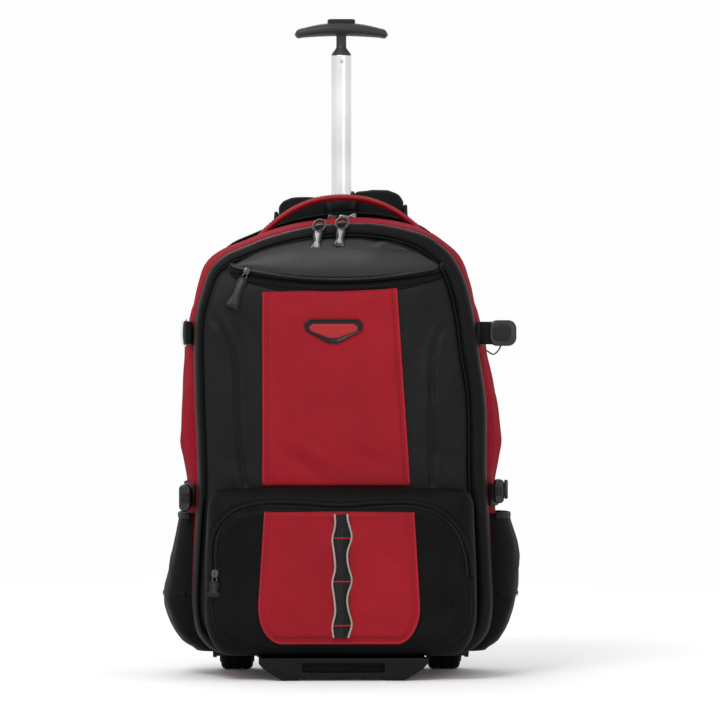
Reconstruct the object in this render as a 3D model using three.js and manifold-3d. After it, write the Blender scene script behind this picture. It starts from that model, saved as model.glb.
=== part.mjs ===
// Wheeled backpack: a soft zipped body on a hard base, with two wheels, a telescopic pole and
// padded shoulder straps. Millimetres, +Z up. The front of the bag faces -Y and the floor is z = 0.

import * as THREE from 'three';
import { mergeVertices } from 'three/addons/utils/BufferGeometryUtils.js';
import Module from 'manifold-3d';

const wasm = await Module();
wasm.setup();

// Clearances and walls
const gap = 0.3;                // between pieces that touch
const slideGap = 0.4;           // between the tubes, and between wheel and axle
const clothWall = 3;            // padded cloth of the three compartments
const pocketWall = 2;           // side pockets
const panelThickness = 1.6;     // red panels sewn on the front
const webbing = 1.8;            // thickness of every webbing strap

// Body of the bag
const bodyBottom = 24;          // underside of the cloth above the floor
const bodyHeight = 465;
const bodyTop = bodyBottom + bodyHeight;
const bodyWidth = 322;          // across the front outline
const bodyDepth = 105;          // main compartment, front rim to back wall
const bodyFront = -45;          // y of the main compartment's front rim
const sideSwell = 21;           // how far the filled sides stand out past the front outline
const bodyLean = 8;             // the filled bag leans this far to one side near its top
const zipTape = 7;              // zip between the compartments, seen from the side
const rearDepth = 34;           // rear compartment that holds the pole
const rearRise = 1.035;         // rear compartment's height as a share of the front outline's
const rearTop = bodyBottom + bodyHeight * rearRise;
const rearTaper = 0.96;         // rear compartment's width as a share of the front outline's

// Front compartment
const frontDepth = 36;
const bandWidth = 13;           // rolled band around the front panel
const panelShift = -6;          // the front panel sits left of the middle
const panelRise = 42;           // distance over which the front panel rounds up from its seam
const hoodPuff = 4.5;           // padding of the hood above the upper zip
const hoodEdge = 1.2;           // its thickness at its edges
const hoodTop = bodyTop - bandWidth - 5;
const hoodDroop = 34;           // how far its upper edge comes down at its ends
const upperZipWidth = 6;
const upperZipSide = 116;       // half length of the upper zip
const upperZipHeight = bodyTop - 61;    // lowest point of the upper zip
const upperZipRise = 13;        // how much higher its ends lie

// Lower pocket
const lowerBottom = 26;
const lowerHeight = 177;
const lowerWidth = 289;
const lowerShift = -2.5;
const lowerRim = -104;          // y where the pocket's sides start to round over
const lowerFront = -124;        // y of the pocket's face
const lowerRound = 26;          // distance over which the pocket's edge rounds over
const lowerZipWidth = 6;

// Red panels, badge and loop strap
const upperPanel = {
  bottom: lowerBottom + lowerHeight + 3,
  top: upperZipHeight - 14,
  left: -85,
  rightBottom: 71,
  rightTop: 57,
};
const lowerPanel = {
  bottom: lowerBottom + 15,
  top: lowerBottom + lowerHeight - 24,
  middle: -4.5,
  halfTop: 79,
  halfBottom: 87,
  cornerReach: 0.18,            // share of its height over which the bottom corners draw in
  cornerInset: 0.3,             // share of its half width by which they draw in
};
const badgeWidth = 63;
const badgeHeight = 26;
const badgeThickness = 2.4;
const badgeAt = { x: -10, z: upperPanel.top - 42 };
const loopStrapWidth = 22;      // at each tack that sews it down
const loopStrapWave = 7;        // how much narrower it is midway between two tacks
const loopStrapLift = 2.5;      // how far each loop stands off the panel
const loopStrap = {
  x: -2,
  bottom: lowerPanel.bottom + 6,
  top: lowerPanel.top - 3,
  firstTack: 12,                // lowest tack above its bottom end
  spacing: 46.5,                // from tack to tack
};

// Side pockets
const overallWidth = 392;
const sidePocketBottom = 26;
const sidePocketHeight = 150;
const sidePocketLength = 98;
const sidePocketMiddle = 7;     // y of the pockets' middle
const pocketSeat = 12;          // how far they reach into the bag's outline before they are cut

// Side straps and buckles
const strapWidth = 25;
const upperStrapHeight = 371;
const lowerStrapHeight = 197;
const buckleY = -46;            // the buckles lie near the bag's front corners

// Metal pulls of the zips. Half widths of the slider, of the eye under it, of the pull's flared
// ends and of its waist; then where each pull hangs, how far off the cloth, how long and at what lean
const pullThickness = 3;
const sliderHalf = 3.6;
const eyeHalf = 1.4;
const flareHalf = 4.6;
const waistHalf = 2.4;
const mainPulls = [
  { name: 'main_pull_left', x: -23, drop: 3, length: 25, lean: 10 },
  { name: 'main_pull_right', x: -3, drop: 0, length: 24, lean: 8 },
];
const upperPull = { off: 2.1, length: 44, lean: 22 };
const lowerPull = { rise: 4, off: 3, length: 18, lean: 4 };
const rearPull = { x: -11, drop: 4, length: 28, lean: -87 };

// Pole, from its fixed outer tube to the grip
const poleX = 1;
const outerTubeRadius = 13;
const tubeWall = 1.5;
const outerTubeTop = rearTop + 13.7;
const poleTop = outerTubeTop + 164;     // top of the sliding tube as shown
const innerTubeLength = 460;
const collarRadius = 16.5;
const collarTop = outerTubeTop + 5;
const collarBottom = collarTop - 24;
const coneHeight = 8;
const stemRadius = 5.6;
const gripBottom = poleTop + 22;
const gripWidth = 104;
const gripDepth = 27;
const gripHeight = 15;
const gripDroop = 6;
const gripTaper = 0.42;         // how much smaller its ends are than its middle
const gripEnd = 0.6;            // size of its end faces, as a share of the section there
const buttonLength = 31;
const buttonWidth = 13;
const buttonHeight = 8;
const buttonProud = 3.6;        // how far the button stands out of the grip
const buttonTravel = 3;
const rivetRadius = 2;          // rivet in the sliding tube, below the grip
const rivetHeight = poleTop - 7;

// Carry handle
const handleLeft = -101;
const handleRight = 105;
const handleTop = bodyTop + 36;
const handleFoot = bodyTop - 24;    // height at which its ends run into the bag
const handleWidth = 28;
const handleThickness = 7;
const handleY = 30;

// Shoulder straps and back pads
const shoulderStrapX = 42;      // root of each strap from the middle
const shoulderStrapWidth = 64;
const shoulderStrapThickness = 13;
const shoulderStrapTop = bodyTop + 42;
const rightStrapRise = 8;       // the right strap stands a little higher
const padThickness = 8;
const padRound = 26;            // corner radius of the back pads
const adjusterRow = 2;          // row of the lower webbing where its ladder buckle sits
const adjusterWidth = 34;
const adjusterHeight = 18;
const adjusterThickness = 7;

// Base, feet and wheels
const trayThickness = 6;
const trayRound = 8;
const standFront = -116;
const standDepth = 24;
const recessDepth = 17;         // recess between the feet, above their bar
const footInner = 46;
const footOuter = 90;
const footSole = 17;            // width of each flat sole
const footRise = 12;            // height of each foot's outer corner
const standSide = 18;           // height where the stand's sides end
const barBottom = 3.3;          // bar between the feet
const barTop = 8.5;
const wheelRadius = 27;
const wheelWidth = 40;
const wheelX = 115;             // middle of each wheel
const axleY = 79;
const axleRadius = 4;
const cheek = 4;                // side walls of the wheel housings
const wheelClearance = 2.5;
const housingInner = wheelX - wheelWidth / 2 - wheelClearance - cheek;
const housingOuter = wheelX + wheelWidth / 2 + wheelClearance + cheek;
const housingFront = 46;
const housingBack = 98;
const housingTop = 62;
const housingBottom = 14;
const housingRound = 12;

// Body outline, bottom to top. height and width are shares of bodyHeight and of half bodyWidth,
// swell is a share of sideSwell and lean a share of bodyLean.
const BODY_ROWS = [
  { height: 0.000, width: 0.70, swell: 0.00, lean: 0.0 },
  { height: 0.010, width: 0.85, swell: 0.05, lean: 0.0 },
  { height: 0.050, width: 0.965, swell: 0.35, lean: 0.0 },
  { height: 0.108, width: 1.000, swell: 0.45, lean: 0.0 },
  { height: 0.200, width: 0.995, swell: 0.55, lean: 0.0 },
  { height: 0.300, width: 0.978, swell: 0.60, lean: 0.0 },
  { height: 0.400, width: 0.964, swell: 0.64, lean: 0.0 },
  { height: 0.490, width: 0.966, swell: 1.02, lean: -0.1 },
  { height: 0.600, width: 0.968, swell: 0.80, lean: -0.3 },
  { height: 0.700, width: 0.948, swell: 0.62, lean: -0.8 },
  { height: 0.776, width: 0.930, swell: 0.45, lean: -1.0 },
  { height: 0.850, width: 0.882, swell: 0.38, lean: -0.95 },
  { height: 0.895, width: 0.831, swell: 0.44, lean: -0.9 },
  { height: 0.927, width: 0.750, swell: 0.50, lean: -0.5 },
  { height: 0.948, width: 0.645, swell: 0.53, lean: 0.2 },
  { height: 0.966, width: 0.540, swell: 0.52, lean: 0.8 },
  { height: 0.988, width: 0.330, swell: 0.47, lean: 1.4 },
  { height: 1.000, width: 0.000, swell: 0.44, lean: 1.8 },
];

// Lower pocket outline, as shares of lowerHeight and of half lowerWidth
const LOWER_ROWS = [
  { height: 0.00, width: 0.80, swell: 0, lean: 0 },
  { height: 0.02, width: 0.885, swell: 0, lean: 0 },
  { height: 0.09, width: 0.955, swell: 0, lean: 0 },
  { height: 0.19, width: 0.995, swell: 0, lean: 0 },
  { height: 0.45, width: 1.000, swell: 0, lean: 0 },
  { height: 0.80, width: 0.985, swell: 0, lean: 0 },
  { height: 0.93, width: 0.972, swell: 0, lean: 0 },
  { height: 0.985, width: 0.935, swell: 0, lean: 0 },
  { height: 1.00, width: 0.860, swell: 0, lean: 0 },
  { height: 1.00, width: 0.000, swell: 0, lean: 0 },
];

// Depth of each ring of a compartment, front to back, with the share of the side swell there
const MAIN_STATIONS = [
  { depth: 0.00, swell: 0.00 },
  { depth: 0.12, swell: 0.50 },
  { depth: 0.36, swell: 0.94 },
  { depth: 0.72, swell: 0.96 },
  { depth: 1.00, swell: 0.45 },
];

// The same for the rear compartment, with the inset of each ring from its outline
const REAR_STATIONS = [
  { depth: 0.00, inset: 0, swell: 0.3 },
  { depth: 0.65, inset: 0, swell: 0.2 },
  { depth: 0.92, inset: 3, swell: 0.1 },
  { depth: 1.00, inset: 9, swell: 0.0 },
];
const REAR_HOLLOW_STATIONS = [
  { depth: 0.60, inset: 0, swell: 0.2 },
  { depth: 1.00, inset: 8, swell: 0.0 },
];

// Badge, a shield with a shallow point, as shares of half its width and half its height
const BADGE_CORNERS = [
  { across: -0.95, up: 0.02 },
  { across: -0.16, up: -1 },
  { across: 0.16, up: -1 },
  { across: 0.95, up: 0.02 },
  { across: 1, up: 0.6 },
  { across: 0.84, up: 1 },
  { across: -0.84, up: 1 },
  { across: -1, up: 0.6 },
];

// Rolled band of the front compartment: inset from the outline as a share of bandWidth and
// depth as a share of frontDepth
const BAND_ROWS = [
  { inset: 0.14, depth: 0.00 },
  { inset: 0.00, depth: 0.14 },
  { inset: 0.00, depth: 0.42 },
  { inset: 0.20, depth: 0.66 },
  { inset: 0.55, depth: 0.77 },
  { inset: 1.00, depth: 0.70 },
];
const seamDepth = 0.70;         // depth of the band's inner seam, as a share of frontDepth
const topEase = 0.42;           // how much shallower the front is at the top of the bag

// Arched zip of the lower pocket, as shares of half lowerWidth and of lowerHeight
const LOWER_ZIP_ROWS = [
  { across: -0.925, along: 0.48 },
  { across: -0.925, along: 0.66 },
  { across: -0.89, along: 0.77 },
  { across: -0.78, along: 0.86 },
  { across: -0.58, along: 0.905 },
  { across: -0.30, along: 0.905 },
  { across: 0.00, along: 0.89 },
  { across: 0.30, along: 0.905 },
  { across: 0.58, along: 0.90 },
  { across: 0.74, along: 0.845 },
  { across: 0.86, along: 0.74 },
  { across: 0.92, along: 0.60 },
  { across: 0.935, along: 0.48 },
];

// Side pocket outline seen from the front, as shares of sidePocketHeight and half overallWidth,
// with its length in Y as a share of sidePocketLength
const SIDE_POCKET_ROWS = [
  { height: 0.00, left: 0.84, right: 0.84, length: 0.80 },
  { height: 0.06, left: 0.885, right: 0.87, length: 0.90 },
  { height: 0.14, left: 0.935, right: 0.915, length: 0.97 },
  { height: 0.26, left: 0.978, right: 0.955, length: 1.00 },
  { height: 0.38, left: 1.000, right: 0.980, length: 1.00 },
  { height: 0.52, left: 0.980, right: 0.992, length: 1.00 },
  { height: 0.76, left: 0.940, right: 0.994, length: 0.98 },
  { height: 1.00, left: 0.895, right: 0.925, length: 0.94 },
];

// Shoulder strap, root to lower end: out from its root in X, back from the rear wall as a share of
// shoulderStrapThickness, height as a share of shoulderStrapTop, width and thickness as shares
const SHOULDER_ROWS = [
  { out: 0, back: 0.44, height: 0.860, width: 1.00, thickness: 0.80 },
  { out: 0, back: 0.46, height: 0.925, width: 1.00, thickness: 0.85 },
  { out: 0, back: 0.60, height: 0.965, width: 1.00, thickness: 0.90 },
  { out: 1, back: 1.35, height: 0.988, width: 1.00, thickness: 1.00 },
  { out: 2, back: 2.15, height: 0.968, width: 1.02, thickness: 1.00 },
  { out: 6, back: 2.45, height: 0.900, width: 1.06, thickness: 1.00 },
  { out: 20, back: 2.50, height: 0.780, width: 1.06, thickness: 1.00 },
  { out: 36, back: 2.40, height: 0.660, width: 1.00, thickness: 1.00 },
  { out: 50, back: 2.15, height: 0.550, width: 0.92, thickness: 0.95 },
  { out: 60, back: 1.75, height: 0.450, width: 0.82, thickness: 0.90 },
  { out: 66, back: 1.30, height: 0.370, width: 0.70, thickness: 0.80 },
];

// Lower webbing of each shoulder strap, from the padded part down to the base
const LOWER_WEBBING_ROWS = [
  { out: 66, back: 0.95, height: 0.400 },
  { out: 66, back: 0.82, height: 0.370 },
  { out: 67, back: 0.60, height: 0.335 },
  { out: 72, back: 0.46, height: 0.260 },
  { out: 80, back: 0.30, height: 0.185 },
  { out: 84, back: 0.20, height: 0.140 },
];

// Buckles beside the bag: which side, height of the strap they sit on and how far above it they
// lie, how tall, how far off the cloth, how far they reach out from there, and their length in Y
const BUCKLE_ROWS = [
  { name: 'upper_buckle_left', sign: -1, strap: upperStrapHeight, above: 0, tall: 31, off: 3.8,
    reach: 9, length: 18 },
  { name: 'upper_loop_right', sign: 1, strap: upperStrapHeight, above: 0, tall: 25, off: 3.8,
    reach: 9.5, length: 8 },
  { name: 'upper_buckle_right', sign: 1, strap: upperStrapHeight, above: 0, tall: 28, off: 13.6,
    reach: 30, length: 8 },
  { name: 'lower_buckle_left', sign: -1, strap: lowerStrapHeight, above: -4, tall: 29, off: 3.1,
    reach: 13, length: 18 },
  { name: 'lower_buckle_right', sign: 1, strap: lowerStrapHeight, above: 3, tall: 26, off: 3.8,
    reach: 11, length: 18 },
  { name: 'strap_end_right', sign: 1, strap: lowerStrapHeight, above: 5, tall: 21, off: 15.6,
    reach: 3.4, length: 18 },
];

// Pads of the back, with their edges from the pole in X and their heights as shares of bodyHeight
const PAD_ROWS = [
  { name: 'back_pad_left', left: -97, right: -23, bottom: 0.357, top: 0.895 },
  { name: 'back_pad_right', left: 21, right: 95, bottom: 0.357, top: 0.895 },
  { name: 'lumbar_pad', left: -97, right: 95, bottom: 0.129, top: 0.327 },
];

const AXES = {
  x: [new THREE.Vector3(0, 1, 0), new THREE.Vector3(0, 0, 1), new THREE.Vector3(1, 0, 0)],
  y: [new THREE.Vector3(1, 0, 0), new THREE.Vector3(0, 0, 1), new THREE.Vector3(0, 1, 0)],
  z: [new THREE.Vector3(1, 0, 0), new THREE.Vector3(0, 1, 0), new THREE.Vector3(0, 0, 1)],
};
const mix = THREE.MathUtils.lerp;
const smooth = (value, low, high) => THREE.MathUtils.smoothstep(value, low, high);

// Closed solid from points and triangles, turned so that its faces point out
function solidOf(points, triangles) {
  const vertProperties = new Float32Array(points.length * 3);
  points.forEach((point, index) => point.toArray(vertProperties, index * 3));
  let volume = 0;
  const cross = new THREE.Vector3();
  for (let i = 0; i < triangles.length; i += 3) {
    cross.crossVectors(points[triangles[i + 1]], points[triangles[i + 2]]);
    volume += points[triangles[i]].dot(cross);
  }
  const facing = volume > 0 ? triangles : [...triangles].reverse();
  return new wasm.Manifold(new wasm.Mesh({ numProp: 3, vertProperties, triVerts: Uint32Array.from(facing) }));
}

// Closed solid from a three.js geometry
function solidFrom(geometry) {
  geometry.deleteAttribute('normal');
  geometry.deleteAttribute('uv');
  const merged = mergeVertices(geometry, 1e-3);
  const position = merged.getAttribute('position');
  const points = [];
  for (let i = 0; i < position.count; i++) {
    points.push(new THREE.Vector3().fromBufferAttribute(position, i));
  }
  return solidOf(points, Array.from(merged.index.array));
}

// Triangles that close a ring, zigzagging between its two halves and turned the way it runs
function capOf(count) {
  const triangles = [];
  let low = 0;
  let high = count - 1;
  while (high - low > 1) {
    triangles.push(low, low + 1, high);
    low += 1;
    if (high - low > 1) {
      triangles.push(low, high - 1, high);
      high -= 1;
    }
  }
  return triangles;
}

// Solid through a row of rings with equal numbers of points, with flat ends or closed on itself
function loft(rings, looped = false) {
  const count = rings[0].length;
  const triangles = [];
  const spans = looped ? rings.length : rings.length - 1;
  for (let r = 0; r < spans; r++) {
    const next = ((r + 1) % rings.length) * count;
    for (let i = 0; i < count; i++) {
      const j = (i + 1) % count;
      triangles.push(r * count + i, r * count + j, next + j);
      triangles.push(r * count + i, next + j, next + i);
    }
  }
  if (!looped) {
    triangles.push(...capOf(count).reverse());
    triangles.push(...capOf(count).map((index) => index + (rings.length - 1) * count));
  }
  return solidOf(rings.flat(), triangles);
}

// Straight prism of a flat shape along one axis
function prism(shape, axis, from, to, curveSegments = 2) {
  const geometry = new THREE.ExtrudeGeometry(shape, { depth: to - from, bevelEnabled: false, curveSegments });
  geometry.applyMatrix4(new THREE.Matrix4().makeBasis(...AXES[axis]));
  geometry.translate(...AXES[axis][2].clone().multiplyScalar(from).toArray());
  return solidFrom(geometry);
}

function roundedRectangle(left, right, bottom, top, radius) {
  const shape = new THREE.Shape();
  shape.moveTo(left + radius, bottom);
  shape.lineTo(right - radius, bottom);
  shape.absarc(right - radius, bottom + radius, radius, -Math.PI / 2, 0);
  shape.lineTo(right, top - radius);
  shape.absarc(right - radius, top - radius, radius, 0, Math.PI / 2);
  shape.lineTo(left + radius, top);
  shape.absarc(left + radius, top - radius, radius, Math.PI / 2, Math.PI);
  shape.lineTo(left, bottom + radius);
  shape.absarc(left + radius, bottom + radius, radius, Math.PI, Math.PI * 1.5);
  return shape;
}

function circle(x, y, radius) {
  const shape = new THREE.Shape();
  shape.absarc(x, y, radius, 0, Math.PI * 2);
  return shape;
}

function polygon(corners) {
  return new THREE.Shape(corners.map(([x, y]) => new THREE.Vector2(x, y)));
}

// Solid of revolution about an upright axis at x, y, from [radius, height] pairs
function turned(profile, x, y, segments = 18) {
  const points = profile.map(([radius, height]) => new THREE.Vector2(radius, height));
  const geometry = new THREE.LatheGeometry(points, segments);
  geometry.rotateX(Math.PI / 2);
  geometry.translate(x, y, 0);
  return solidFrom(geometry);
}

// Flat band along a path. normals point along its thickness.
function ribbon(path, normals, width, thickness, looped = false) {
  const rings = path.map((point, index) => {
    const before = path[looped ? (index + path.length - 1) % path.length : Math.max(index - 1, 0)];
    const after = path[looped ? (index + 1) % path.length : Math.min(index + 1, path.length - 1)];
    const tangent = after.clone().sub(before).normalize();
    const across = tangent.clone().cross(normals[index]).normalize();
    const out = across.clone().cross(tangent).normalize();
    return [[-1, -1], [1, -1], [1, 1], [-1, 1]].map(([side, face]) => point.clone()
      .addScaledVector(across, side * width / 2)
      .addScaledVector(out, face * thickness / 2));
  });
  return loft(rings, looped);
}

// Padded band with rounded edges along a path, its width across the given direction
function padded(path, across, widths, thicknesses) {
  const sides = 8;
  const rings = path.map((point, index) => {
    const before = path[Math.max(index - 1, 0)];
    const after = path[Math.min(index + 1, path.length - 1)];
    const tangent = after.clone().sub(before).normalize();
    const wide = across.clone().addScaledVector(tangent, -across.dot(tangent)).normalize();
    const out = wide.clone().cross(tangent).normalize();
    return Array.from({ length: sides }, (_, side) => {
      const angle = (side + 0.5) * 2 * Math.PI / sides;
      const along = Math.sign(Math.cos(angle)) * Math.abs(Math.cos(angle)) ** 0.45;
      const up = Math.sign(Math.sin(angle)) * Math.abs(Math.sin(angle)) ** 0.8;
      return point.clone()
        .addScaledVector(wide, along * widths[index] / 2)
        .addScaledVector(out, up * thicknesses[index] / 2);
    });
  });
  return loft(rings);
}

// Value of a column in a table at a height share, between its rows
function columnAt(rows, column, share) {
  const above = rows.findIndex((row) => row.height >= share);
  if (above <= 0) return above === 0 ? rows[0][column] : rows.at(-1)[column];
  const low = rows[above - 1];
  const high = rows[above];
  const span = high.height - low.height;
  return span > 0 ? mix(low[column], high[column], (share - low.height) / span) : high[column];
}

// Outline in the XZ plane from a table: points with their outward normals and swell, in order
function outline(rows, { bottom, height, width, swell = 0, lean = 0, shift = 0, samples }) {
  const side = (row, sign) => new THREE.Vector3(
    shift + row.lean * lean + sign * row.width * width / 2, 0, bottom + row.height * height);
  const right = rows.map((row) => side(row, 1));
  const left = rows.slice(0, -1).reverse().map((row) => side(row, -1));
  const curve = new THREE.CatmullRomCurve3([...right, ...left], true, 'centripetal');
  const points = curve.getPoints(samples).slice(0, -1);
  points.forEach((point) => point.setZ(Math.max(point.z, bottom)));
  return points.map((point, index) => {
    const before = points[(index + points.length - 1) % points.length];
    const after = points[(index + 1) % points.length];
    const tangent = after.clone().sub(before).normalize();
    const share = (point.z - bottom) / height;
    return {
      point,
      normal: new THREE.Vector3(tangent.z, 0, -tangent.x),
      swell: swell * columnAt(rows, 'swell', share),
    };
  });
}

// One ring of an outline at depth y, grown outwards; y may be a function of the grown point
function ringAt(profile, y, grow, swellShare = 0, shift = 0) {
  return profile.map(({ point, normal, swell }) => {
    const placed = point.clone().addScaledVector(normal, grow + swell * swellShare);
    placed.x += shift;
    placed.y = typeof y === 'function' ? y(placed) : y;
    return placed;
  });
}

const faceShares = [0.6];       // size of each ring inside a face's last edge ring

// Rings shrunk towards a ring's middle, for the face inside an outline
function innerRings(ring, shares, y) {
  const middle = ring.reduce((sum, point) => sum.add(point), new THREE.Vector3())
    .divideScalar(ring.length);
  return shares.map((share) => ring.map((point) => {
    const placed = middle.clone().lerp(point, share);
    placed.y = y(placed);
    return placed;
  }));
}

// Distance from a point inside a ring to its edge, seen along Y
function edgeDistance(ring, { x, z }) {
  return ring.reduce((nearest, start, index) => {
    const end = ring[(index + 1) % ring.length];
    const dx = end.x - start.x;
    const dz = end.z - start.z;
    const along = ((x - start.x) * dx + (z - start.z) * dz) / (dx * dx + dz * dz);
    const share = THREE.MathUtils.clamp(along, 0, 1);
    return Math.min(nearest, Math.hypot(x - start.x - share * dx, z - start.z - share * dz));
  }, Infinity);
}

// Quarter-round rise from 0 at an edge to 1 at a distance
const rounded = (distance, reach) => Math.sqrt(1 - (1 - Math.min(distance / reach, 1)) ** 2);

// Patch of cloth lying on a surface. place gives x and z from across and along, both 0 to 1.
// The patch reaches sunk behind the surface, so that cutting by what carries it seats it.
function patch({ place, surface, thickness, sunk, columns, rows }) {
  const rings = Array.from({ length: rows + 1 }, (_, row) => {
    const line = Array.from({ length: columns + 1 }, (_, column) => {
      const [x, z] = place(column / columns, row / rows);
      return new THREE.Vector3(x, surface({ x, z }), z);
    });
    const front = line.map((point, column) => point.clone()
      .setY(point.y - thickness(column / columns, row / rows)));
    const back = line.map((point) => point.clone().setY(point.y + sunk)).reverse();
    return [...front, ...back];
  });
  return loft(rings);
}

// Largest of the loose pieces that a cut leaves
function largestOf(solid) {
  return solid.decompose().reduce((best, part) => (part.volume() > best.volume() ? part : best));
}

// Piece cut to lie a gap in front of what carries it
function seatedOn(piece, carrier) {
  return piece.subtract(carrier.translate(0, -gap, 0));
}

// Main compartment
const bodyBack = bodyFront + bodyDepth;
const bodyOutline = outline(BODY_ROWS, {
  bottom: bodyBottom, height: bodyHeight, width: bodyWidth, swell: sideSwell, lean: bodyLean, samples: 40,
});

function mainSolid(grow) {
  const rings = MAIN_STATIONS.map(({ depth, swell }) => ringAt(
    bodyOutline, bodyFront + depth * bodyDepth, grow, swell));
  return loft(rings);
}

function mainHollow() {
  const mouth = ringAt(bodyOutline, bodyFront - clothWall, -clothWall, 0);
  const rings = MAIN_STATIONS.slice(1).map(({ depth, swell }) => {
    const y = Math.min(bodyFront + depth * bodyDepth, bodyBack - clothWall);
    return ringAt(bodyOutline, y, -clothWall, swell);
  });
  return loft([mouth, ...rings]);
}

// Rear compartment, a shallow tray behind the main one
const rearFront = bodyBack + zipTape;
const rearBack = rearFront + rearDepth;
const poleY = rearFront + rearDepth / 2;
const rearOutline = outline(BODY_ROWS, {
  bottom: bodyBottom, height: bodyHeight * rearRise, width: bodyWidth * rearTaper,
  swell: sideSwell, lean: bodyLean, samples: 32,
});

function rearRings(rows, grow) {
  return rows.map(({ depth, inset, swell }) => ringAt(
    rearOutline, rearFront + depth * rearDepth + (depth === 1 ? grow : 0), grow - inset, swell));
}

const rearSolid = (grow) => loft(rearRings(REAR_STATIONS, grow));

function rearHollow() {
  const mouth = ringAt(rearOutline, rearFront - clothWall, -clothWall, REAR_STATIONS[0].swell);
  return loft([mouth, ...rearRings(REAR_HOLLOW_STATIONS, -clothWall)]);
}

// Front compartment: a rolled band and a rounded panel inside its seam
const frontRim = bodyFront - zipTape;
const easeAt = (z) => 1 - topEase * smooth(z, bodyBottom + bodyHeight * 0.8, bodyTop);
const frontSeam = ringAt(bodyOutline, 0, -bandWidth, 0, panelShift);
const panelSurface = ({ x, z }) => frontRim - frontDepth * easeAt(z)
  * mix(seamDepth, 1, rounded(edgeDistance(frontSeam, { x, z }), panelRise));

function frontSolid() {
  const band = BAND_ROWS.map(({ inset, depth }) => ringAt(bodyOutline,
    ({ z }) => frontRim - frontDepth * depth * easeAt(z),
    -inset * bandWidth, 0, panelShift * inset ** 2));
  const edge = [3, 9, 22].map((inset) => ringAt(
    bodyOutline, panelSurface, -bandWidth - inset, 0, panelShift));
  return loft([...band, ...edge, ...innerRings(edge.at(-1), faceShares, panelSurface)]);
}

function frontHollow() {
  const face = (placed) => panelSurface(placed) + clothWall;
  const edge = ringAt(bodyOutline, face, -bandWidth - clothWall - 9, 0, panelShift);
  return loft([
    ringAt(bodyOutline, frontRim - clothWall, -clothWall - 2),
    ringAt(bodyOutline, ({ z }) => frontRim - frontDepth * 0.35 * easeAt(z), -clothWall),
    edge,
    ...innerRings(edge, faceShares, face),
  ]);
}

// Path made longer at both ends
function extended(path, by) {
  const start = path[0].clone().sub(path[1]).setLength(by).add(path[0]);
  const end = path.at(-1).clone().sub(path.at(-2)).setLength(by).add(path.at(-1));
  return [start, ...path, end];
}

// Middle line of the upper zip, a shallow smile
const upperZipAt = (x) => upperZipHeight + upperZipRise * ((x - panelShift) / upperZipSide) ** 2;

function upperZipLine() {
  const steps = 12;
  return Array.from({ length: steps + 1 }, (_, step) => {
    const x = panelShift + upperZipSide * mix(-1, 1, step / steps);
    const z = upperZipAt(x);
    return new THREE.Vector3(x, panelSurface({ x, z }), z);
  });
}

// Lower pocket
const lowerOutline = outline(LOWER_ROWS, {
  bottom: lowerBottom, height: lowerHeight, width: lowerWidth, shift: lowerShift, samples: 30,
});
const lowerEdge = ringAt(lowerOutline, 0, 0);
const lowerSurface = ({ x, z }) => {
  const top = lowerBottom + lowerHeight;
  const reach = mix(lowerRound, lowerRound * 1.35, smooth(z, top - lowerHeight * 0.3, top));
  return mix(lowerRim, lowerFront, rounded(edgeDistance(lowerEdge, { x, z }), reach));
};

const lowerBack = frontRim - frontDepth * 0.6;

function lowerSolid() {
  const edge = [1.5, 6, 16].map((inset) => ringAt(lowerOutline, lowerSurface, -inset));
  return loft([
    ringAt(lowerOutline, lowerBack, 0),
    ringAt(lowerOutline, lowerRim, 0),
    ...edge,
    ...innerRings(edge.at(-1), faceShares, lowerSurface),
  ]);
}

function lowerHollow() {
  const face = (placed) => lowerSurface(placed) + clothWall;
  const edge = ringAt(lowerOutline, face, -clothWall - 8);
  return loft([
    ringAt(lowerOutline, lowerBack + clothWall, -clothWall),
    ringAt(lowerOutline, lowerRim + clothWall, -clothWall),
    edge,
    ...innerRings(edge, faceShares, face),
  ]);
}

function lowerZipLine() {
  const curve = new THREE.CatmullRomCurve3(LOWER_ZIP_ROWS.map(({ across, along }) => new THREE.Vector3(
    lowerShift + across * lowerWidth / 2, 0, lowerBottom + along * lowerHeight)), false, 'centripetal');
  return curve.getSpacedPoints(16).map((point) => point.setY(lowerSurface(point)));
}

const towardsFront = new THREE.Vector3(0, -1, 0);
const facing = (path, direction = towardsFront) => path.map(() => direction);

const pieces = [];
function add(name, solid, finish) {
  pieces.push({ name, solid, finish });
  return solid;
}

const finishes = {
  redCloth: { color: 0x9e2431, roughness: 0.75, metalness: 0 },
  blackCloth: { color: 0x2a2a2c, roughness: 0.8, metalness: 0 },
  blackMesh: { color: 0x1f1f21, roughness: 0.9, metalness: 0 },
  webbing: { color: 0x232325, roughness: 0.7, metalness: 0 },
  zipTape: { color: 0x1c1c1e, roughness: 0.6, metalness: 0 },
  zipMetal: { color: 0x8d8f92, roughness: 0.35, metalness: 0.9 },
  blackPlastic: { color: 0x1b1b1d, roughness: 0.45, metalness: 0 },
  greyPlastic: { color: 0x55565a, roughness: 0.5, metalness: 0 },
  badge: { color: 0x151517, roughness: 0.5, metalness: 0 },
  tube: { color: 0xe2e3e4, roughness: 0.3, metalness: 0.85 },
  steel: { color: 0xa9abad, roughness: 0.35, metalness: 1 },
  tyre: { color: 0x19191a, roughness: 0.85, metalness: 0 },
};

// Housings around the wheels, cut out of the cloth above them
function housingBlock(sign, grow) {
  const shape = roundedRectangle(housingFront - grow, housingBack + grow,
    housingBottom - grow, housingTop + grow, housingRound);
  const from = housingInner - grow;
  const to = housingOuter + grow;
  return sign > 0 ? prism(shape, 'x', from, to) : prism(shape, 'x', -to, -from);
}

// Where the room around a wheel starts and ends in X
function wheelRoom(sign) {
  const half = wheelWidth / 2 + wheelClearance;
  return [sign * wheelX - half, sign * wheelX + half];
}

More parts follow.
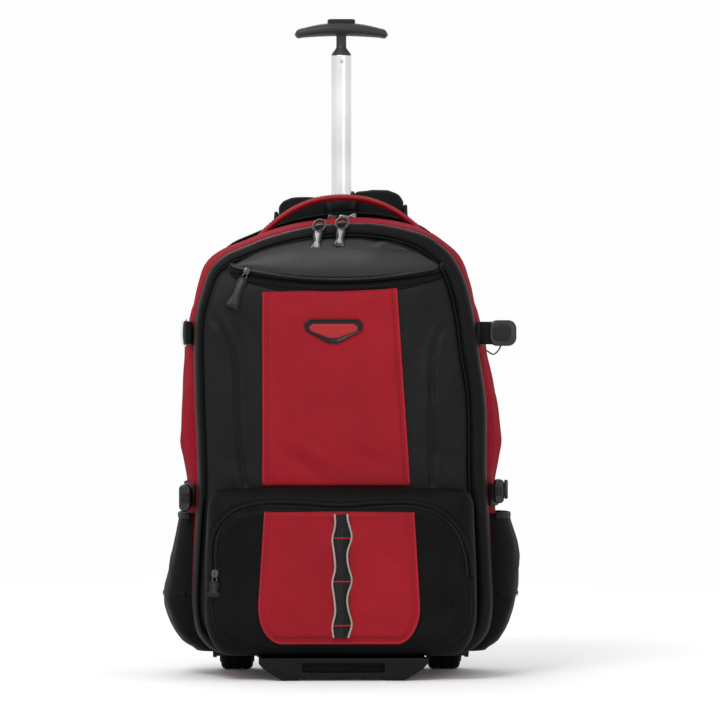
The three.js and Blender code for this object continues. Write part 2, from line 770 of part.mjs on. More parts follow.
// Room in which a wheel turns inside its housing
function wheelCavity(sign) {
  const [from, to] = wheelRoom(sign);
  return prism(circle(axleY, wheelRadius, wheelRadius + wheelClearance), 'x', from, to, 10);
}

function bodyPieces() {
  const wells = [-1, 1].map((sign) => housingBlock(sign, gap).add(wheelCavity(sign)))
    .reduce((all, well) => all.add(well));
  const tubeHole = prism(circle(poleX, poleY, outerTubeRadius + gap), 'z', 0, collarTop, 10);
  add('main_body', mainSolid(0).subtract(mainHollow()).subtract(wells), finishes.redCloth);
  const rear = rearSolid(0).subtract(rearHollow());
  add('rear_compartment', rear.subtract(wells).subtract(tubeHole), finishes.blackCloth);

  const smile = extended(upperZipLine(), gap);
  const slit = ribbon(smile, facing(smile), upperZipWidth + 2 * gap, 8 * clothWall);
  const front = frontSolid().subtract(frontHollow());
  add('front_compartment', front.subtract(slit), finishes.blackCloth);

  const arch = extended(lowerZipLine(), gap);
  const archSlit = ribbon(arch, facing(arch), lowerZipWidth + 2 * gap, 10 * clothWall);
  const pocket = lowerSolid().subtract(lowerHollow()).subtract(archSlit);
  add('lower_pocket', seatedOn(pocket, frontSolid()), finishes.blackCloth);
}

// Zip tapes that close the compartments
function zipPieces() {
  const rimNormals = bodyOutline.map(({ normal }) => normal);
  const mainRing = ringAt(bodyOutline, bodyFront - zipTape / 2, -2.5);
  add('main_zip', ribbon(mainRing, rimNormals, zipTape - 2 * gap, clothWall, true), finishes.zipTape);
  const rearRing = ringAt(bodyOutline, bodyBack + zipTape / 2, -clothWall / 2);
  const rearLoop = ribbon(rearRing, rimNormals, zipTape - 2 * gap, clothWall, true);
  add('rear_zip', largestOf(rearLoop.subtract(housingBlock(-1, gap)).subtract(housingBlock(1, gap))),
    finishes.zipTape);

  const upper = upperZipLine().map((point) => point.setY(point.y + 0.6));
  add('upper_zip', ribbon(upper, facing(upper), upperZipWidth, clothWall), finishes.zipTape);
  const lower = lowerZipLine().map((point) => point.setY(point.y + 0.6));
  add('lower_zip', ribbon(lower, facing(lower), lowerZipWidth, clothWall), finishes.zipTape);
}

// Hood above the upper zip, red panels, badge and loop strap
function frontTrim() {
  const front = frontSolid();
  const hoodLow = (x) => upperZipAt(x) + upperZipWidth / 2 + 1;
  const hoodHigh = (x) => hoodTop - hoodDroop * Math.abs((x - panelShift) / upperZipSide) ** 2.6;
  add('hood', seatedOn(patch({
    place: (across, along) => {
      const x = panelShift + upperZipSide * mix(-0.97, 0.97, across);
      return [x, mix(hoodLow(x), Math.max(hoodHigh(x), hoodLow(x) + 4), along)];
    },
    surface: panelSurface,
    thickness: (across, along) => hoodEdge + hoodPuff * Math.sin(Math.PI * (0.12 + 0.8 * (1 - along)))
      * Math.sin(Math.PI * mix(0.1, 0.9, across)),
    sunk: 3,
    columns: 10,
    rows: 3,
  }), front), finishes.blackCloth);

  const upper = seatedOn(patch({
    place: (across, along) => [
      mix(upperPanel.left, mix(upperPanel.rightBottom, upperPanel.rightTop, along), across),
      mix(upperPanel.bottom, upperPanel.top, along),
    ],
    surface: panelSurface,
    thickness: () => panelThickness + gap,
    sunk: 3,
    columns: 6,
    rows: 7,
  }), front);
  add('upper_red_panel', upper, finishes.redCloth);

  const corner = (along) => 1
    - lowerPanel.cornerInset * (1 - Math.min(along / lowerPanel.cornerReach, 1)) ** 2;
  const lower = seatedOn(patch({
    place: (across, along) => [
      lowerPanel.middle + mix(lowerPanel.halfBottom, lowerPanel.halfTop, along) * corner(along)
        * mix(-1, 1, across),
      mix(lowerPanel.bottom, lowerPanel.top, along),
    ],
    surface: lowerSurface,
    thickness: () => panelThickness + gap,
    sunk: 4,
    columns: 6,
    rows: 9,
  }), lowerSolid());
  add('lower_red_panel', lower, finishes.redCloth);

  const rise = panelThickness + gap;
  const strapHeight = (along) => mix(loopStrap.bottom, loopStrap.top, along);
  const loopShare = (z) => Math.sin(
    Math.PI * (z - loopStrap.bottom - loopStrap.firstTack) / loopStrap.spacing) ** 2;
  add('loop_strap', seatedOn(patch({
    place: (across, along) => {
      const z = strapHeight(along);
      const halfWidth = (loopStrapWidth - loopStrapWave * loopShare(z)) / 2;
      return [loopStrap.x + halfWidth * mix(-1, 1, across), z];
    },
    surface: (point) => lowerSurface(point) - rise,
    thickness: (across, along) => webbing + gap + loopStrapLift * loopShare(strapHeight(along)),
    sunk: 1,
    columns: 1,
    rows: 20,
  }), lower), finishes.webbing);

  const half = badgeWidth / 2;
  const tall = badgeHeight / 2;
  const shield = polygon(BADGE_CORNERS.map(
    ({ across, up }) => [badgeAt.x + half * across, badgeAt.z + tall * up]));
  const face = panelSurface(badgeAt) - panelThickness - gap;
  add('badge', seatedOn(prism(shield, 'y', face - badgeThickness, face + 1), upper), finishes.badge);
}

// Side pockets, open at the top, their inner side closed by the bag itself
function sidePocket(name, sign, column) {
  const half = overallWidth / 2;
  const carrier = mainSolid(gap);
  const section = (row, wall, z) => {
    const reach = half * row[column] - wall;
    const length = sidePocketLength * row.length / 2 - wall;
    const inside = bodyWidth / 2 - pocketSeat;
    const arc = Array.from({ length: 9 }, (_, step) => {
      const angle = Math.PI * (step / 8 - 0.5);
      return new THREE.Vector3(
        sign * mix(inside + pocketSeat / 1.5, reach, Math.cos(angle) ** 0.55),
        sidePocketMiddle + length * Math.sin(angle), z);
    });
    return [
      new THREE.Vector3(sign * inside, sidePocketMiddle - length, z), ...arc,
      new THREE.Vector3(sign * inside, sidePocketMiddle + length, z),
    ];
  };
  const heightOf = (row) => sidePocketBottom + row.height * sidePocketHeight;
  const outer = loft(SIDE_POCKET_ROWS.map((row) => section(row, 0, heightOf(row))));
  const floor = section(SIDE_POCKET_ROWS[0], pocketWall, sidePocketBottom + pocketWall);
  const mouth = section(SIDE_POCKET_ROWS.at(-1), pocketWall, sidePocketBottom + sidePocketHeight + 5);
  const hollow = loft([
    floor, ...SIDE_POCKET_ROWS.slice(1).map((row) => section(row, pocketWall, heightOf(row))), mouth,
  ]);
  const cut = outer.subtract(hollow).subtract(carrier).subtract(housingBlock(sign, gap));
  add(name, largestOf(cut), finishes.blackMesh);
}

// x of the bag's side at a height and depth
function sideX(sign, y, z) {
  const share = (z - bodyBottom) / bodyHeight;
  const depth = THREE.MathUtils.clamp((y - bodyFront) / bodyDepth, 0, 1);
  const above = Math.max(1, MAIN_STATIONS.findIndex((station) => station.depth >= depth));
  const low = MAIN_STATIONS[above - 1];
  const high = MAIN_STATIONS[above];
  const swell = mix(low.swell, high.swell, (depth - low.depth) / (high.depth - low.depth));
  const side = columnAt(BODY_ROWS, 'width', share) * bodyWidth / 2
    + swell * sideSwell * columnAt(BODY_ROWS, 'swell', share);
  return sign * side + columnAt(BODY_ROWS, 'lean', share) * bodyLean;
}

// Compression strap that lies around one side of the bag
function sideStrap(name, sign, z, yFront, yBack) {
  const steps = 8;
  const off = gap + webbing;
  const path = Array.from({ length: steps + 1 }, (_, step) => {
    const y = mix(yFront, yBack, step / steps);
    return new THREE.Vector3(sideX(sign, y, z) + sign * off, y, z);
  });
  const band = ribbon(path, facing(path, new THREE.Vector3(sign, 0, 0)), strapWidth, webbing);
  add(name, band.subtract(mainSolid(gap)), finishes.webbing);
}

// Buckle beside the bag, its inner side a set distance off the cloth
function buckle({ name, sign, strap, above, tall, off, reach, length }) {
  const z = strap + above;
  const x = sideX(sign, buckleY + length / 2, z) + sign * (off + reach / 2);
  const shape = roundedRectangle(x - reach / 2, x + reach / 2, z - tall / 2, z + tall / 2,
    Math.min(reach, tall) * 0.35);
  const block = prism(shape, 'y', buckleY - length / 2, buckleY + length / 2);
  add(name, block.subtract(mainSolid(gap)), finishes.blackPlastic);
}

function sidePieces() {
  sidePocket('side_pocket_left', -1, 'left');
  sidePocket('side_pocket_right', 1, 'right');
  const front = bodyFront + 2;
  const back = bodyBack - 4;
  for (const [side, sign] of [['left', -1], ['right', 1]]) {
    sideStrap(`upper_strap_${side}`, sign, upperStrapHeight, front, back);
    sideStrap(`lower_strap_${side}`, sign, lowerStrapHeight, front, back);
  }
  BUCKLE_ROWS.forEach(buckle);
}

// Zip slider with its hanging pull, lying on a surface. lean turns it in the front view.
function zipPull(name, surface, { x, z, off, length, lean }) {
  const rightSide = [
    [flareHalf, -length], [waistHalf, -length * 0.62], [flareHalf, -9.5], [eyeHalf, -8.5],
    [eyeHalf, -6], [sliderHalf, -5], [sliderHalf, 3],
  ];
  const leftSide = rightSide.map(([across, along]) => [-across, along]).reverse();
  const pull = polygon([...rightSide, ...leftSide]);
  const angle = THREE.MathUtils.degToRad(lean);
  const end = { x: x - Math.sin(angle) * length, z: z - Math.cos(angle) * length };
  const top = surface({ x, z }) - off;
  const slope = Math.atan2(top - (surface(end) - off), length);
  const solid = prism(pull, 'y', -pullThickness, 0).rotate(-THREE.MathUtils.radToDeg(slope), 0, 0)
    .rotate(0, lean, 0);
  add(name, solid.translate(x, top, z), finishes.zipMetal);
}

function pullPieces() {
  const top = bodyTop - bandWidth * 0.7;
  for (const { name, drop, ...at } of mainPulls) {
    zipPull(name, panelSurface, { ...at, z: top - drop, off: hoodPuff + 2 });
  }
  const smile = upperZipLine()[1];
  zipPull('upper_pull', panelSurface, { x: smile.x, z: smile.z, ...upperPull });
  const arch = lowerZipLine()[0];
  zipPull('lower_pull', lowerSurface, { x: arch.x, z: arch.z + lowerPull.rise, ...lowerPull });
  zipPull('rear_pull', () => rearFront, { z: rearTop - rearPull.drop, off: 2 * gap, ...rearPull });
}

// Carry handle, an arch over the top of the bag
function handlePiece() {
  const steps = 12;
  const middle = (handleLeft + handleRight) / 2;
  const path = Array.from({ length: steps + 1 }, (_, step) => {
    const across = mix(-1, 1, step / steps);
    const rise = 1 - Math.abs(across) ** 2.25;
    return new THREE.Vector3(mix(middle, handleRight, across), handleY,
      mix(handleFoot, handleTop - handleThickness / 2, rise));
  });
  const widths = path.map(() => handleWidth);
  const thicknesses = path.map(() => handleThickness);
  const arch = padded(path, new THREE.Vector3(0, 1, 0), widths, thicknesses);
  add('carry_handle', largestOf(arch.subtract(mainSolid(gap))), finishes.redCloth);
}

// Shoulder straps, their lower webbing with its adjuster, and the pads of the back
function strapPoint(row, sign, rise) {
  return new THREE.Vector3(
    poleX + sign * (shoulderStrapX + row.out), rearBack + row.back * shoulderStrapThickness,
    row.height * shoulderStrapTop + rise);
}

function backPieces() {
  const across = new THREE.Vector3(1, 0, 0);
  const rear = rearSolid(gap);
  for (const [side, sign, rise] of [['left', -1, 0], ['right', 1, rightStrapRise]]) {
    const path = SHOULDER_ROWS.map((row) => strapPoint(row, sign, rise));
    const strap = padded(path, across,
      SHOULDER_ROWS.map((row) => row.width * shoulderStrapWidth),
      SHOULDER_ROWS.map((row) => row.thickness * shoulderStrapThickness));
    add(`shoulder_strap_${side}`, strap.subtract(rear), finishes.blackCloth);

    const lower = LOWER_WEBBING_ROWS.map((row) => strapPoint(row, sign, rise));
    const back = facing(lower, new THREE.Vector3(0, 1, 0));
    add(`strap_webbing_${side}`, ribbon(lower, back, strapWidth, webbing).subtract(rear),
      finishes.webbing);
    const held = lower[adjusterRow];
    const block = prism(roundedRectangle(held.x - adjusterWidth / 2, held.x + adjusterWidth / 2,
      held.z - adjusterHeight / 2, held.z + adjusterHeight / 2, 3), 'y',
    held.y - adjusterThickness / 2, held.y + adjusterThickness / 2);
    add(`strap_adjuster_${side}`,
      block.subtract(ribbon(lower, back, strapWidth + 2 * gap, webbing + 2 * gap)),
      finishes.blackPlastic);
  }
  const padBack = rearBack + gap + padThickness;
  for (const { name, left, right, bottom, top } of PAD_ROWS) {
    const shape = roundedRectangle(poleX + left, poleX + right,
      bodyBottom + bottom * bodyHeight, bodyBottom + top * bodyHeight, padRound);
    add(name, prism(shape, 'y', rearBack + gap, padBack), finishes.blackMesh);
  }
}

// Telescopic pole with its collar, grip and button
function polePieces() {
  const inner = outerTubeRadius - tubeWall;
  const slideRadius = inner - slideGap;
  const bore = slideRadius - tubeWall;
  add('outer_tube', turned([
    [outerTubeRadius, bodyBottom], [outerTubeRadius, outerTubeTop], [inner, outerTubeTop],
    [inner, bodyBottom], [outerTubeRadius, bodyBottom],
  ], poleX, poleY), finishes.tube);

  const lip = slideRadius + slideGap;
  const held = outerTubeRadius + gap;
  const collar = turned([
    [collarRadius, collarBottom], [collarRadius, collarTop - 3], [collarRadius - 3, collarTop],
    [lip, collarTop], [lip, outerTubeTop + gap], [held, outerTubeTop + gap], [held, collarBottom],
    [collarRadius, collarBottom],
  ], poleX, poleY);
  add('pole_collar', largestOf(collar.subtract(rearSolid(gap))), finishes.blackPlastic);

  const innerBottom = poleTop - innerTubeLength;
  const rivetHole = prism(circle(poleX, rivetHeight, rivetRadius + gap), 'y',
    poleY - outerTubeRadius, poleY, 6);
  add('inner_tube', turned([
    [slideRadius, innerBottom], [slideRadius, poleTop], [bore, poleTop], [bore, innerBottom],
    [slideRadius, innerBottom],
  ], poleX, poleY).subtract(rivetHole), finishes.tube);
  add('pole_rivet', prism(circle(poleX, rivetHeight, rivetRadius), 'y',
    poleY - slideRadius - slideGap / 2, poleY - bore + 1, 6), finishes.steel);

  const coneBottom = poleTop + gap;
  const coneTop = coneBottom + coneHeight;
  const stem = turned([
    [0, coneBottom], [slideRadius, coneBottom], [stemRadius, coneTop],
    [stemRadius, gripBottom + gripHeight / 2], [0, gripBottom + gripHeight / 2],
  ], poleX, poleY);
  const steps = 8;
  const sides = 10;
  const rings = Array.from({ length: steps + 1 }, (_, step) => {
    const along = mix(-1, 1, step / steps);
    const size = 1 - gripTaper * along ** 2;
    const end = Math.abs(along) === 1 ? gripEnd : 1;
    const middle = gripBottom + gripHeight / 2 - gripDroop * along ** 2;
    return Array.from({ length: sides }, (_, side) => {
      const angle = side * 2 * Math.PI / sides;
      return new THREE.Vector3(poleX + along * gripWidth / 2,
        poleY + Math.cos(angle) * gripDepth / 2 * size * end,
        middle + Math.sin(angle) * gripHeight / 2 * size * end);
    });
  });
  const gripTop = gripBottom + gripHeight;
  const buttonBottom = gripTop + buttonProud - buttonHeight;
  const buttonShape = (grow) => roundedRectangle(poleX - buttonLength / 2 - grow,
    poleX + buttonLength / 2 + grow, poleY - buttonWidth / 2 - grow, poleY + buttonWidth / 2 + grow,
    buttonWidth / 2 - 1 + grow);
  const well = prism(buttonShape(gap), 'z', buttonBottom - buttonTravel - gap, gripTop + 10);
  add('grip', loft(rings).add(stem).subtract(well), finishes.greyPlastic);
  add('grip_button', prism(buttonShape(0), 'z', buttonBottom, gripTop + buttonProud), finishes.blackPlastic);
}

// Hard base: tray, front stand, wheel housings, wheels and axles
function basePieces() {
  const trayTop = bodyBottom - gap;
  const standBack = standFront + standDepth;
  const traySide = housingInner - gap;
  add('base_tray', prism(roundedRectangle(-traySide, traySide, standBack + gap, housingBack, trayRound),
    'z', trayTop - trayThickness, trayTop), finishes.blackPlastic);

  const soleOuter = footInner + 2 + footSole;
  const rightHalf = [
    [footOuter, trayTop], [footOuter, standSide], [footOuter - 5.5, footRise], [soleOuter, 0],
    [footInner + 2, 0], [footInner, barBottom],
  ];
  const leftHalf = rightHalf.map(([x, z]) => [-x, z]).reverse();
  const recess = prism(roundedRectangle(-footInner + 2, footInner - 2, barTop, standSide + 0.5, 3), 'y',
    standFront - 1, standFront + recessDepth);
  const stand = prism(polygon([...rightHalf, ...leftHalf]), 'y', standFront, standBack);
  add('front_stand', stand.subtract(recess), finishes.blackPlastic);

  for (const [side, sign] of [['left', -1], ['right', 1]]) {
    const [from, to] = wheelRoom(sign);
    const pinHole = prism(circle(axleY, wheelRadius, axleRadius + gap), 'x', from - 2 * cheek,
      to + 2 * cheek, 6);
    const housing = housingBlock(sign, 0).subtract(wheelCavity(sign)).subtract(pinHole);
    add(`wheel_housing_${side}`, housing, finishes.blackPlastic);
    const axle = prism(circle(axleY, wheelRadius, axleRadius), 'x', from - cheek, to + cheek, 6);
    add(`axle_${side}`, axle, finishes.steel);

    const bore = axleRadius + slideGap;
    const halfWidth = wheelWidth / 2;
    const profile = [
      [bore, -halfWidth], [wheelRadius - 9, -halfWidth], [wheelRadius - 4, -halfWidth + 2],
      [wheelRadius, -halfWidth + 6], [wheelRadius, halfWidth - 6], [wheelRadius - 4, halfWidth - 2],
      [wheelRadius - 9, halfWidth], [bore, halfWidth], [bore, -halfWidth],
    ].map(([radius, along]) => new THREE.Vector2(radius, along));
    const wheel = new THREE.LatheGeometry(profile, 18);
    wheel.rotateZ(Math.PI / 2);
    wheel.translate(sign * wheelX, axleY, wheelRadius);
    add(`wheel_${side}`, solidFrom(wheel), finishes.tyre);
  }
}

bodyPieces();
zipPieces();
frontTrim();
sidePieces();
pullPieces();
handlePiece();
backPieces();
polePieces();
basePieces();

const backpack = new THREE.Group();
for (const { name, solid, finish } of pieces) {
  const { vertProperties, triVerts } = solid.getMesh();
  const geometry = new THREE.BufferGeometry();
  geometry.setAttribute('position', new THREE.BufferAttribute(vertProperties, 3));
  geometry.setIndex(new THREE.BufferAttribute(triVerts, 1));
  geometry.computeVertexNormals();
  const mesh = new THREE.Mesh(geometry, new THREE.MeshStandardMaterial(finish));
  mesh.name = name;
  backpack.add(mesh);
}

// The whole bag stands on the floor, centred over the origin
const box = new THREE.Box3().setFromObject(backpack);
const middle = box.getCenter(new THREE.Vector3());
for (const mesh of backpack.children) {
  mesh.geometry.translate(-middle.x, -middle.y, -box.min.z);
}

export default backpack;
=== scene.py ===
"""Looks of the wheeled backpack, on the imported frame.

Shapes are worked out in millimetres in the maker's own axes, x from the middle of the bag, y from
its front rim and z from the floor, and moved into the frame's metres when a mesh is made.
"""
import math

import bmesh
import bpy
import numpy as np
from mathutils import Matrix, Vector


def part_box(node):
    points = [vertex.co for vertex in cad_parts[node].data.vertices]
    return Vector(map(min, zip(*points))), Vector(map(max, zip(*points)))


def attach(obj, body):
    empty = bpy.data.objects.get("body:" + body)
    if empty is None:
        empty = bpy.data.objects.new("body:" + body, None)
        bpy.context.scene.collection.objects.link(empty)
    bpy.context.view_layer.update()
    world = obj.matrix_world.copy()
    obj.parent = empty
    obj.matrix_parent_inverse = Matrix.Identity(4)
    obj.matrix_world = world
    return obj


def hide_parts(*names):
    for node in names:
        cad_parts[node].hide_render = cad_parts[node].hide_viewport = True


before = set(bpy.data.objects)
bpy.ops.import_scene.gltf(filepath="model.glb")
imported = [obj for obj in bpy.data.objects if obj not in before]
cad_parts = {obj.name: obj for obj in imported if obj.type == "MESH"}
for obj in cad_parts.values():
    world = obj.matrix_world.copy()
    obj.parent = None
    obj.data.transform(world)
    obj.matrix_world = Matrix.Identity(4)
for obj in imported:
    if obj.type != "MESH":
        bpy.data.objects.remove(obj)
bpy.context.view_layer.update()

MM = 0.001
STAND_FRONT = -116.0            # y of the front stand's face on the maker's axes
_low, _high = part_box("front_stand")
SHIFT = np.array([(_low[0] + _high[0]) / 2, _low[1] - STAND_FRONT * MM, 0.0])

# Driving sizes, as on the solids
GAP = 0.3
CLOTH = 3.0
BODY_BOTTOM = 24.0
BODY_HEIGHT = 465.0
BODY_TOP = BODY_BOTTOM + BODY_HEIGHT
BODY_WIDTH = 322.0
BODY_DEPTH = 105.0
BODY_FRONT = -45.0
BODY_BACK = BODY_FRONT + BODY_DEPTH
SIDE_SWELL = 21.0
BODY_LEAN = 8.0
ZIP_TAPE = 7.0
REAR_DEPTH = 34.0
REAR_RISE = 1.035
REAR_TAPER = 0.96
REAR_TOP = BODY_BOTTOM + BODY_HEIGHT * REAR_RISE
REAR_FRONT = BODY_BACK + ZIP_TAPE
REAR_BACK = REAR_FRONT + REAR_DEPTH
POLE_X = 1.0
POLE_Y = REAR_FRONT + REAR_DEPTH / 2
FRONT_RIM = BODY_FRONT - ZIP_TAPE
FRONT_DEPTH = 36.0
BAND_WIDTH = 13.0
PANEL_SHIFT = -6.0
PANEL_RISE = 42.0
SEAM_DEPTH = 0.70
TOP_EASE = 0.42
LOWER_BOTTOM = 26.0
LOWER_HEIGHT = 177.0
LOWER_TOP = LOWER_BOTTOM + LOWER_HEIGHT
LOWER_WIDTH = 289.0
LOWER_SHIFT = -2.5
LOWER_RIM = -104.0
LOWER_FRONT = -124.0
LOWER_ROUND = 26.0
ZIP_HEIGHT = BODY_TOP - 61.0
ZIP_RISE = 13.0
ZIP_SIDE = 116.0
OVERALL_WIDTH = 392.0
POCKET_BOTTOM = 26.0
POCKET_HEIGHT = 150.0
POCKET_LENGTH = 98.0
POCKET_MIDDLE = 7.0
HANDLE_LEFT = -101.0
HANDLE_RIGHT = 105.0
HANDLE_TOP = BODY_TOP + 36.0
HANDLE_FOOT = BODY_TOP - 24.0
STRAP_TOP = BODY_TOP + 42.0
STRAP_ROOT = 42.0
STRAP_WIDTH = 64.0
STRAP_THICK = 13.0
RIGHT_STRAP_RISE = 8.0
WEBBING_WIDTH = 25.0
UPPER_STRAP_HEIGHT = 371.0
LOWER_STRAP_HEIGHT = 197.0

# Body outline: height, half width and lean as shares, and the share of the side swell
BODY_ROWS = [
    (0.000, 0.70, 0.00, 0.0), (0.010, 0.85, 0.05, 0.0), (0.050, 0.965, 0.35, 0.0),
    (0.108, 1.000, 0.45, 0.0), (0.200, 0.995, 0.55, 0.0), (0.300, 0.978, 0.60, 0.0),
    (0.400, 0.964, 0.64, 0.0), (0.490, 0.966, 1.02, -0.1), (0.600, 0.968, 0.80, -0.3),
    (0.700, 0.948, 0.62, -0.8), (0.776, 0.930, 0.45, -1.0), (0.850, 0.882, 0.38, -0.95),
    (0.895, 0.831, 0.44, -0.9), (0.927, 0.750, 0.50, -0.5), (0.948, 0.645, 0.53, 0.2),
    (0.966, 0.540, 0.52, 0.8), (0.988, 0.330, 0.47, 1.4), (1.000, 0.000, 0.44, 1.8),
]
# Share of the side swell from the bag's front to its back
MAIN_SWELL = [(0.00, 0.00), (0.12, 0.50), (0.36, 0.94), (0.72, 0.96), (1.00, 0.45)]
# Lower pocket's outline: height and half width as shares
LOWER_ROWS = [
    (0.00, 0.80), (0.02, 0.885), (0.09, 0.955), (0.19, 0.995), (0.45, 1.000), (0.80, 0.985),
    (0.93, 0.972), (0.985, 0.935), (1.00, 0.860), (1.00, 0.000),
]
# Lower pocket's zip arch: across and along, as shares of half its width and of its height
ARCH_ROWS = [
    (-0.925, 0.48), (-0.925, 0.66), (-0.89, 0.77), (-0.78, 0.86), (-0.58, 0.905), (-0.30, 0.905),
    (0.00, 0.89), (0.30, 0.905), (0.58, 0.90), (0.74, 0.845), (0.86, 0.74), (0.92, 0.60),
    (0.935, 0.48),
]
# Side pocket: height, left and right reach as shares of half the overall width, length share
POCKET_ROWS = [
    (0.00, 0.84, 0.84, 0.80), (0.06, 0.885, 0.87, 0.90), (0.14, 0.935, 0.915, 0.97),
    (0.26, 0.978, 0.955, 1.00), (0.38, 1.000, 0.980, 1.00), (0.52, 0.980, 0.992, 1.00),
    (0.76, 0.940, 0.994, 0.98), (1.00, 0.895, 0.925, 0.94),
]
# Shoulder strap: out, back as a share of its thickness, height share, width and thickness shares
STRAP_ROWS = [
    (0, 0.44, 0.860, 1.00, 0.80), (0, 0.46, 0.925, 1.00, 0.85), (0, 0.60, 0.965, 1.00, 0.90),
    (1, 1.35, 0.988, 1.00, 1.00), (2, 2.15, 0.968, 1.02, 1.00), (6, 2.45, 0.900, 1.06, 1.00),
    (20, 2.50, 0.780, 1.06, 1.00), (36, 2.40, 0.660, 1.00, 1.00), (50, 2.15, 0.550, 0.92, 0.95),
    (60, 1.75, 0.450, 0.82, 0.90), (66, 1.30, 0.370, 0.70, 0.80),
]
WEBBING_ROWS = [
    (66, 0.95, 0.400), (66, 0.82, 0.370), (67, 0.60, 0.335), (72, 0.46, 0.260),
    (80, 0.30, 0.185), (84, 0.20, 0.140),
]


# Shader expressions
class Sock:
    """A shader socket that adds Math nodes when it is used in an expression."""

    def __init__(self, tree, socket):
        self.tree = tree
        self.socket = socket

    def node(self, kind, settings=None, **inputs):
        """Adds a node of a kind, its settings first, then the values or links of its sockets."""
        made = self.tree.nodes.new(kind)
        for key, value in (settings or {}).items():
            setattr(made, key, value)
        for key, value in inputs.items():
            index = int(key[1:]) if key[0] == "i" and key[1:].isdigit() else key.replace("_", " ")
            target = made.inputs[index]
            if isinstance(value, Sock):
                self.tree.links.new(value.socket, target)
            else:
                target.default_value = value
        return made

    def out(self, kind, output=0, settings=None, **inputs):
        return Sock(self.tree, self.node(kind, settings, **inputs).outputs[output])

    def _math(self, operation, *values):
        inputs = {f"i{index}": value for index, value in enumerate(values)}
        return self.out("ShaderNodeMath", 0, {"operation": operation}, **inputs)

    def __add__(self, other):
        return self._math("ADD", self, other)

    __radd__ = __add__

    def __mul__(self, other):
        return self._math("MULTIPLY", self, other)

    __rmul__ = __mul__

    def __sub__(self, other):
        return self._math("SUBTRACT", self, other)

    def sin(self):
        return self._math("SINE", self)

    def abs(self):
        return self._math("ABSOLUTE", self)

    def power(self, exponent):
        return self._math("POWER", self, exponent)

    def between(self, low, high):
        """0 below low and 1 above high, with a smooth rise."""
        return self.out("ShaderNodeMapRange", 0, {"interpolation_type": "SMOOTHSTEP"},
                        Value=self, i1=low, i2=high)

    def tint(self, dark, light):
        """A colour from dark at 0 to light at 1."""
        return self.out("ShaderNodeMix", 2, {"data_type": "RGBA"}, i0=self,
                        i6=dark if isinstance(dark, Sock) else (*dark, 1.0),
                        i7=light if isinstance(light, Sock) else (*light, 1.0))


def material(name):
    """A new material: its tree's starter socket, its shader and its Object coordinates."""
    made = bpy.data.materials.new(name)
    made.use_nodes = True
    tree = made.node_tree
    shader = tree.nodes["Principled BSDF"]
    start = Sock(tree, None)
    place = start.out("ShaderNodeTexCoord", "Object")
    return made, start, shader, place


def noise(start, place, scale, detail=2.0, rough=0.5):
    return start.out("ShaderNodeTexNoise", 0, Vector=place, Scale=scale, Detail=detail, Roughness=rough)


def split(start, place):
    made = start.node("ShaderNodeSeparateXYZ", Vector=place)
    return [Sock(start.tree, output) for output in made.outputs]


def finish_shader(start, shader, colour, rough, height=None, distance=0.0004, strength=0.6, **fixed):
    """Links what varies to the shader, and sets what is the same all over on its own sockets."""
    tree = start.tree
    tree.links.new(colour.socket, shader.inputs["Base Color"])
    if isinstance(rough, Sock):
        tree.links.new(rough.socket, shader.inputs["Roughness"])
    else:
        shader.inputs["Roughness"].default_value = rough
    if height is not None:
        bump = start.node("ShaderNodeBump", Height=height)
        bump.inputs["Distance"].default_value = distance
        bump.inputs["Strength"].default_value = strength
        tree.links.new(bump.outputs["Normal"], shader.inputs["Normal"])
    for key, value in fixed.items():
        shader.inputs[key.replace("_", " ")].default_value = value


def woven(name, dark, light, pitch=1.1, sheen=0.0, rough=0.62, slack=0.5, gloss=0.16):
    """Woven nylon: crossed threads, a slow change of shade and small slack ripples."""
    made, start, shader, place = material(name)
    x, y, z = split(start, place)
    turn = 2 * math.pi / (pitch * MM)
    warp = ((x + y * 0.8) * turn).sin()
    weft = (z * turn).sin()
    threads = warp * weft * 0.5 + 0.5
    slow = noise(start, place, 9.0, 3.0, 0.55)
    fine = noise(start, place, 240.0, 2.0, 0.6)
    ripple = noise(start, place, 34.0, 2.0, 0.5)
    shade = slow * 0.55 + fine * 0.25 + threads * 0.2
    colour = shade.between(0.25, 0.8).tint(dark, light)
    height = threads * 0.35 + ripple * slack * 6.0 + fine * 0.3
    finish_shader(start, shader, colour, (slow * 0.16 + (rough - 0.08)), height, 0.00045, 0.55,
                  Sheen_Weight=sheen, Sheen_Roughness=0.45, Specular_IOR_Level=gloss)
    return made


def mesh_cloth(name, dark, light, pitch=2.3):
    """Open mesh cloth: a grid of small holes over a darker ground."""
    made, start, shader, place = material(name)
    x, y, z = split(start, place)
    turn = math.pi / (pitch * MM)
    across = ((x + y) * turn + z * turn).sin()
    along = ((x + y) * turn - z * turn).sin()
    holes = (across * along).abs().between(0.25, 0.6)
    slow = noise(start, place, 14.0, 2.0)
    colour = (holes * 0.7 + slow * 0.4).between(0.1, 0.95).tint(dark, light)
    finish_shader(start, shader, colour, slow * 0.1 + 0.72, holes * 0.7 + slow, 0.0006, 0.6,
                  Sheen_Weight=0.04, Sheen_Roughness=0.5,
                  Specular_IOR_Level=0.12)
    return made


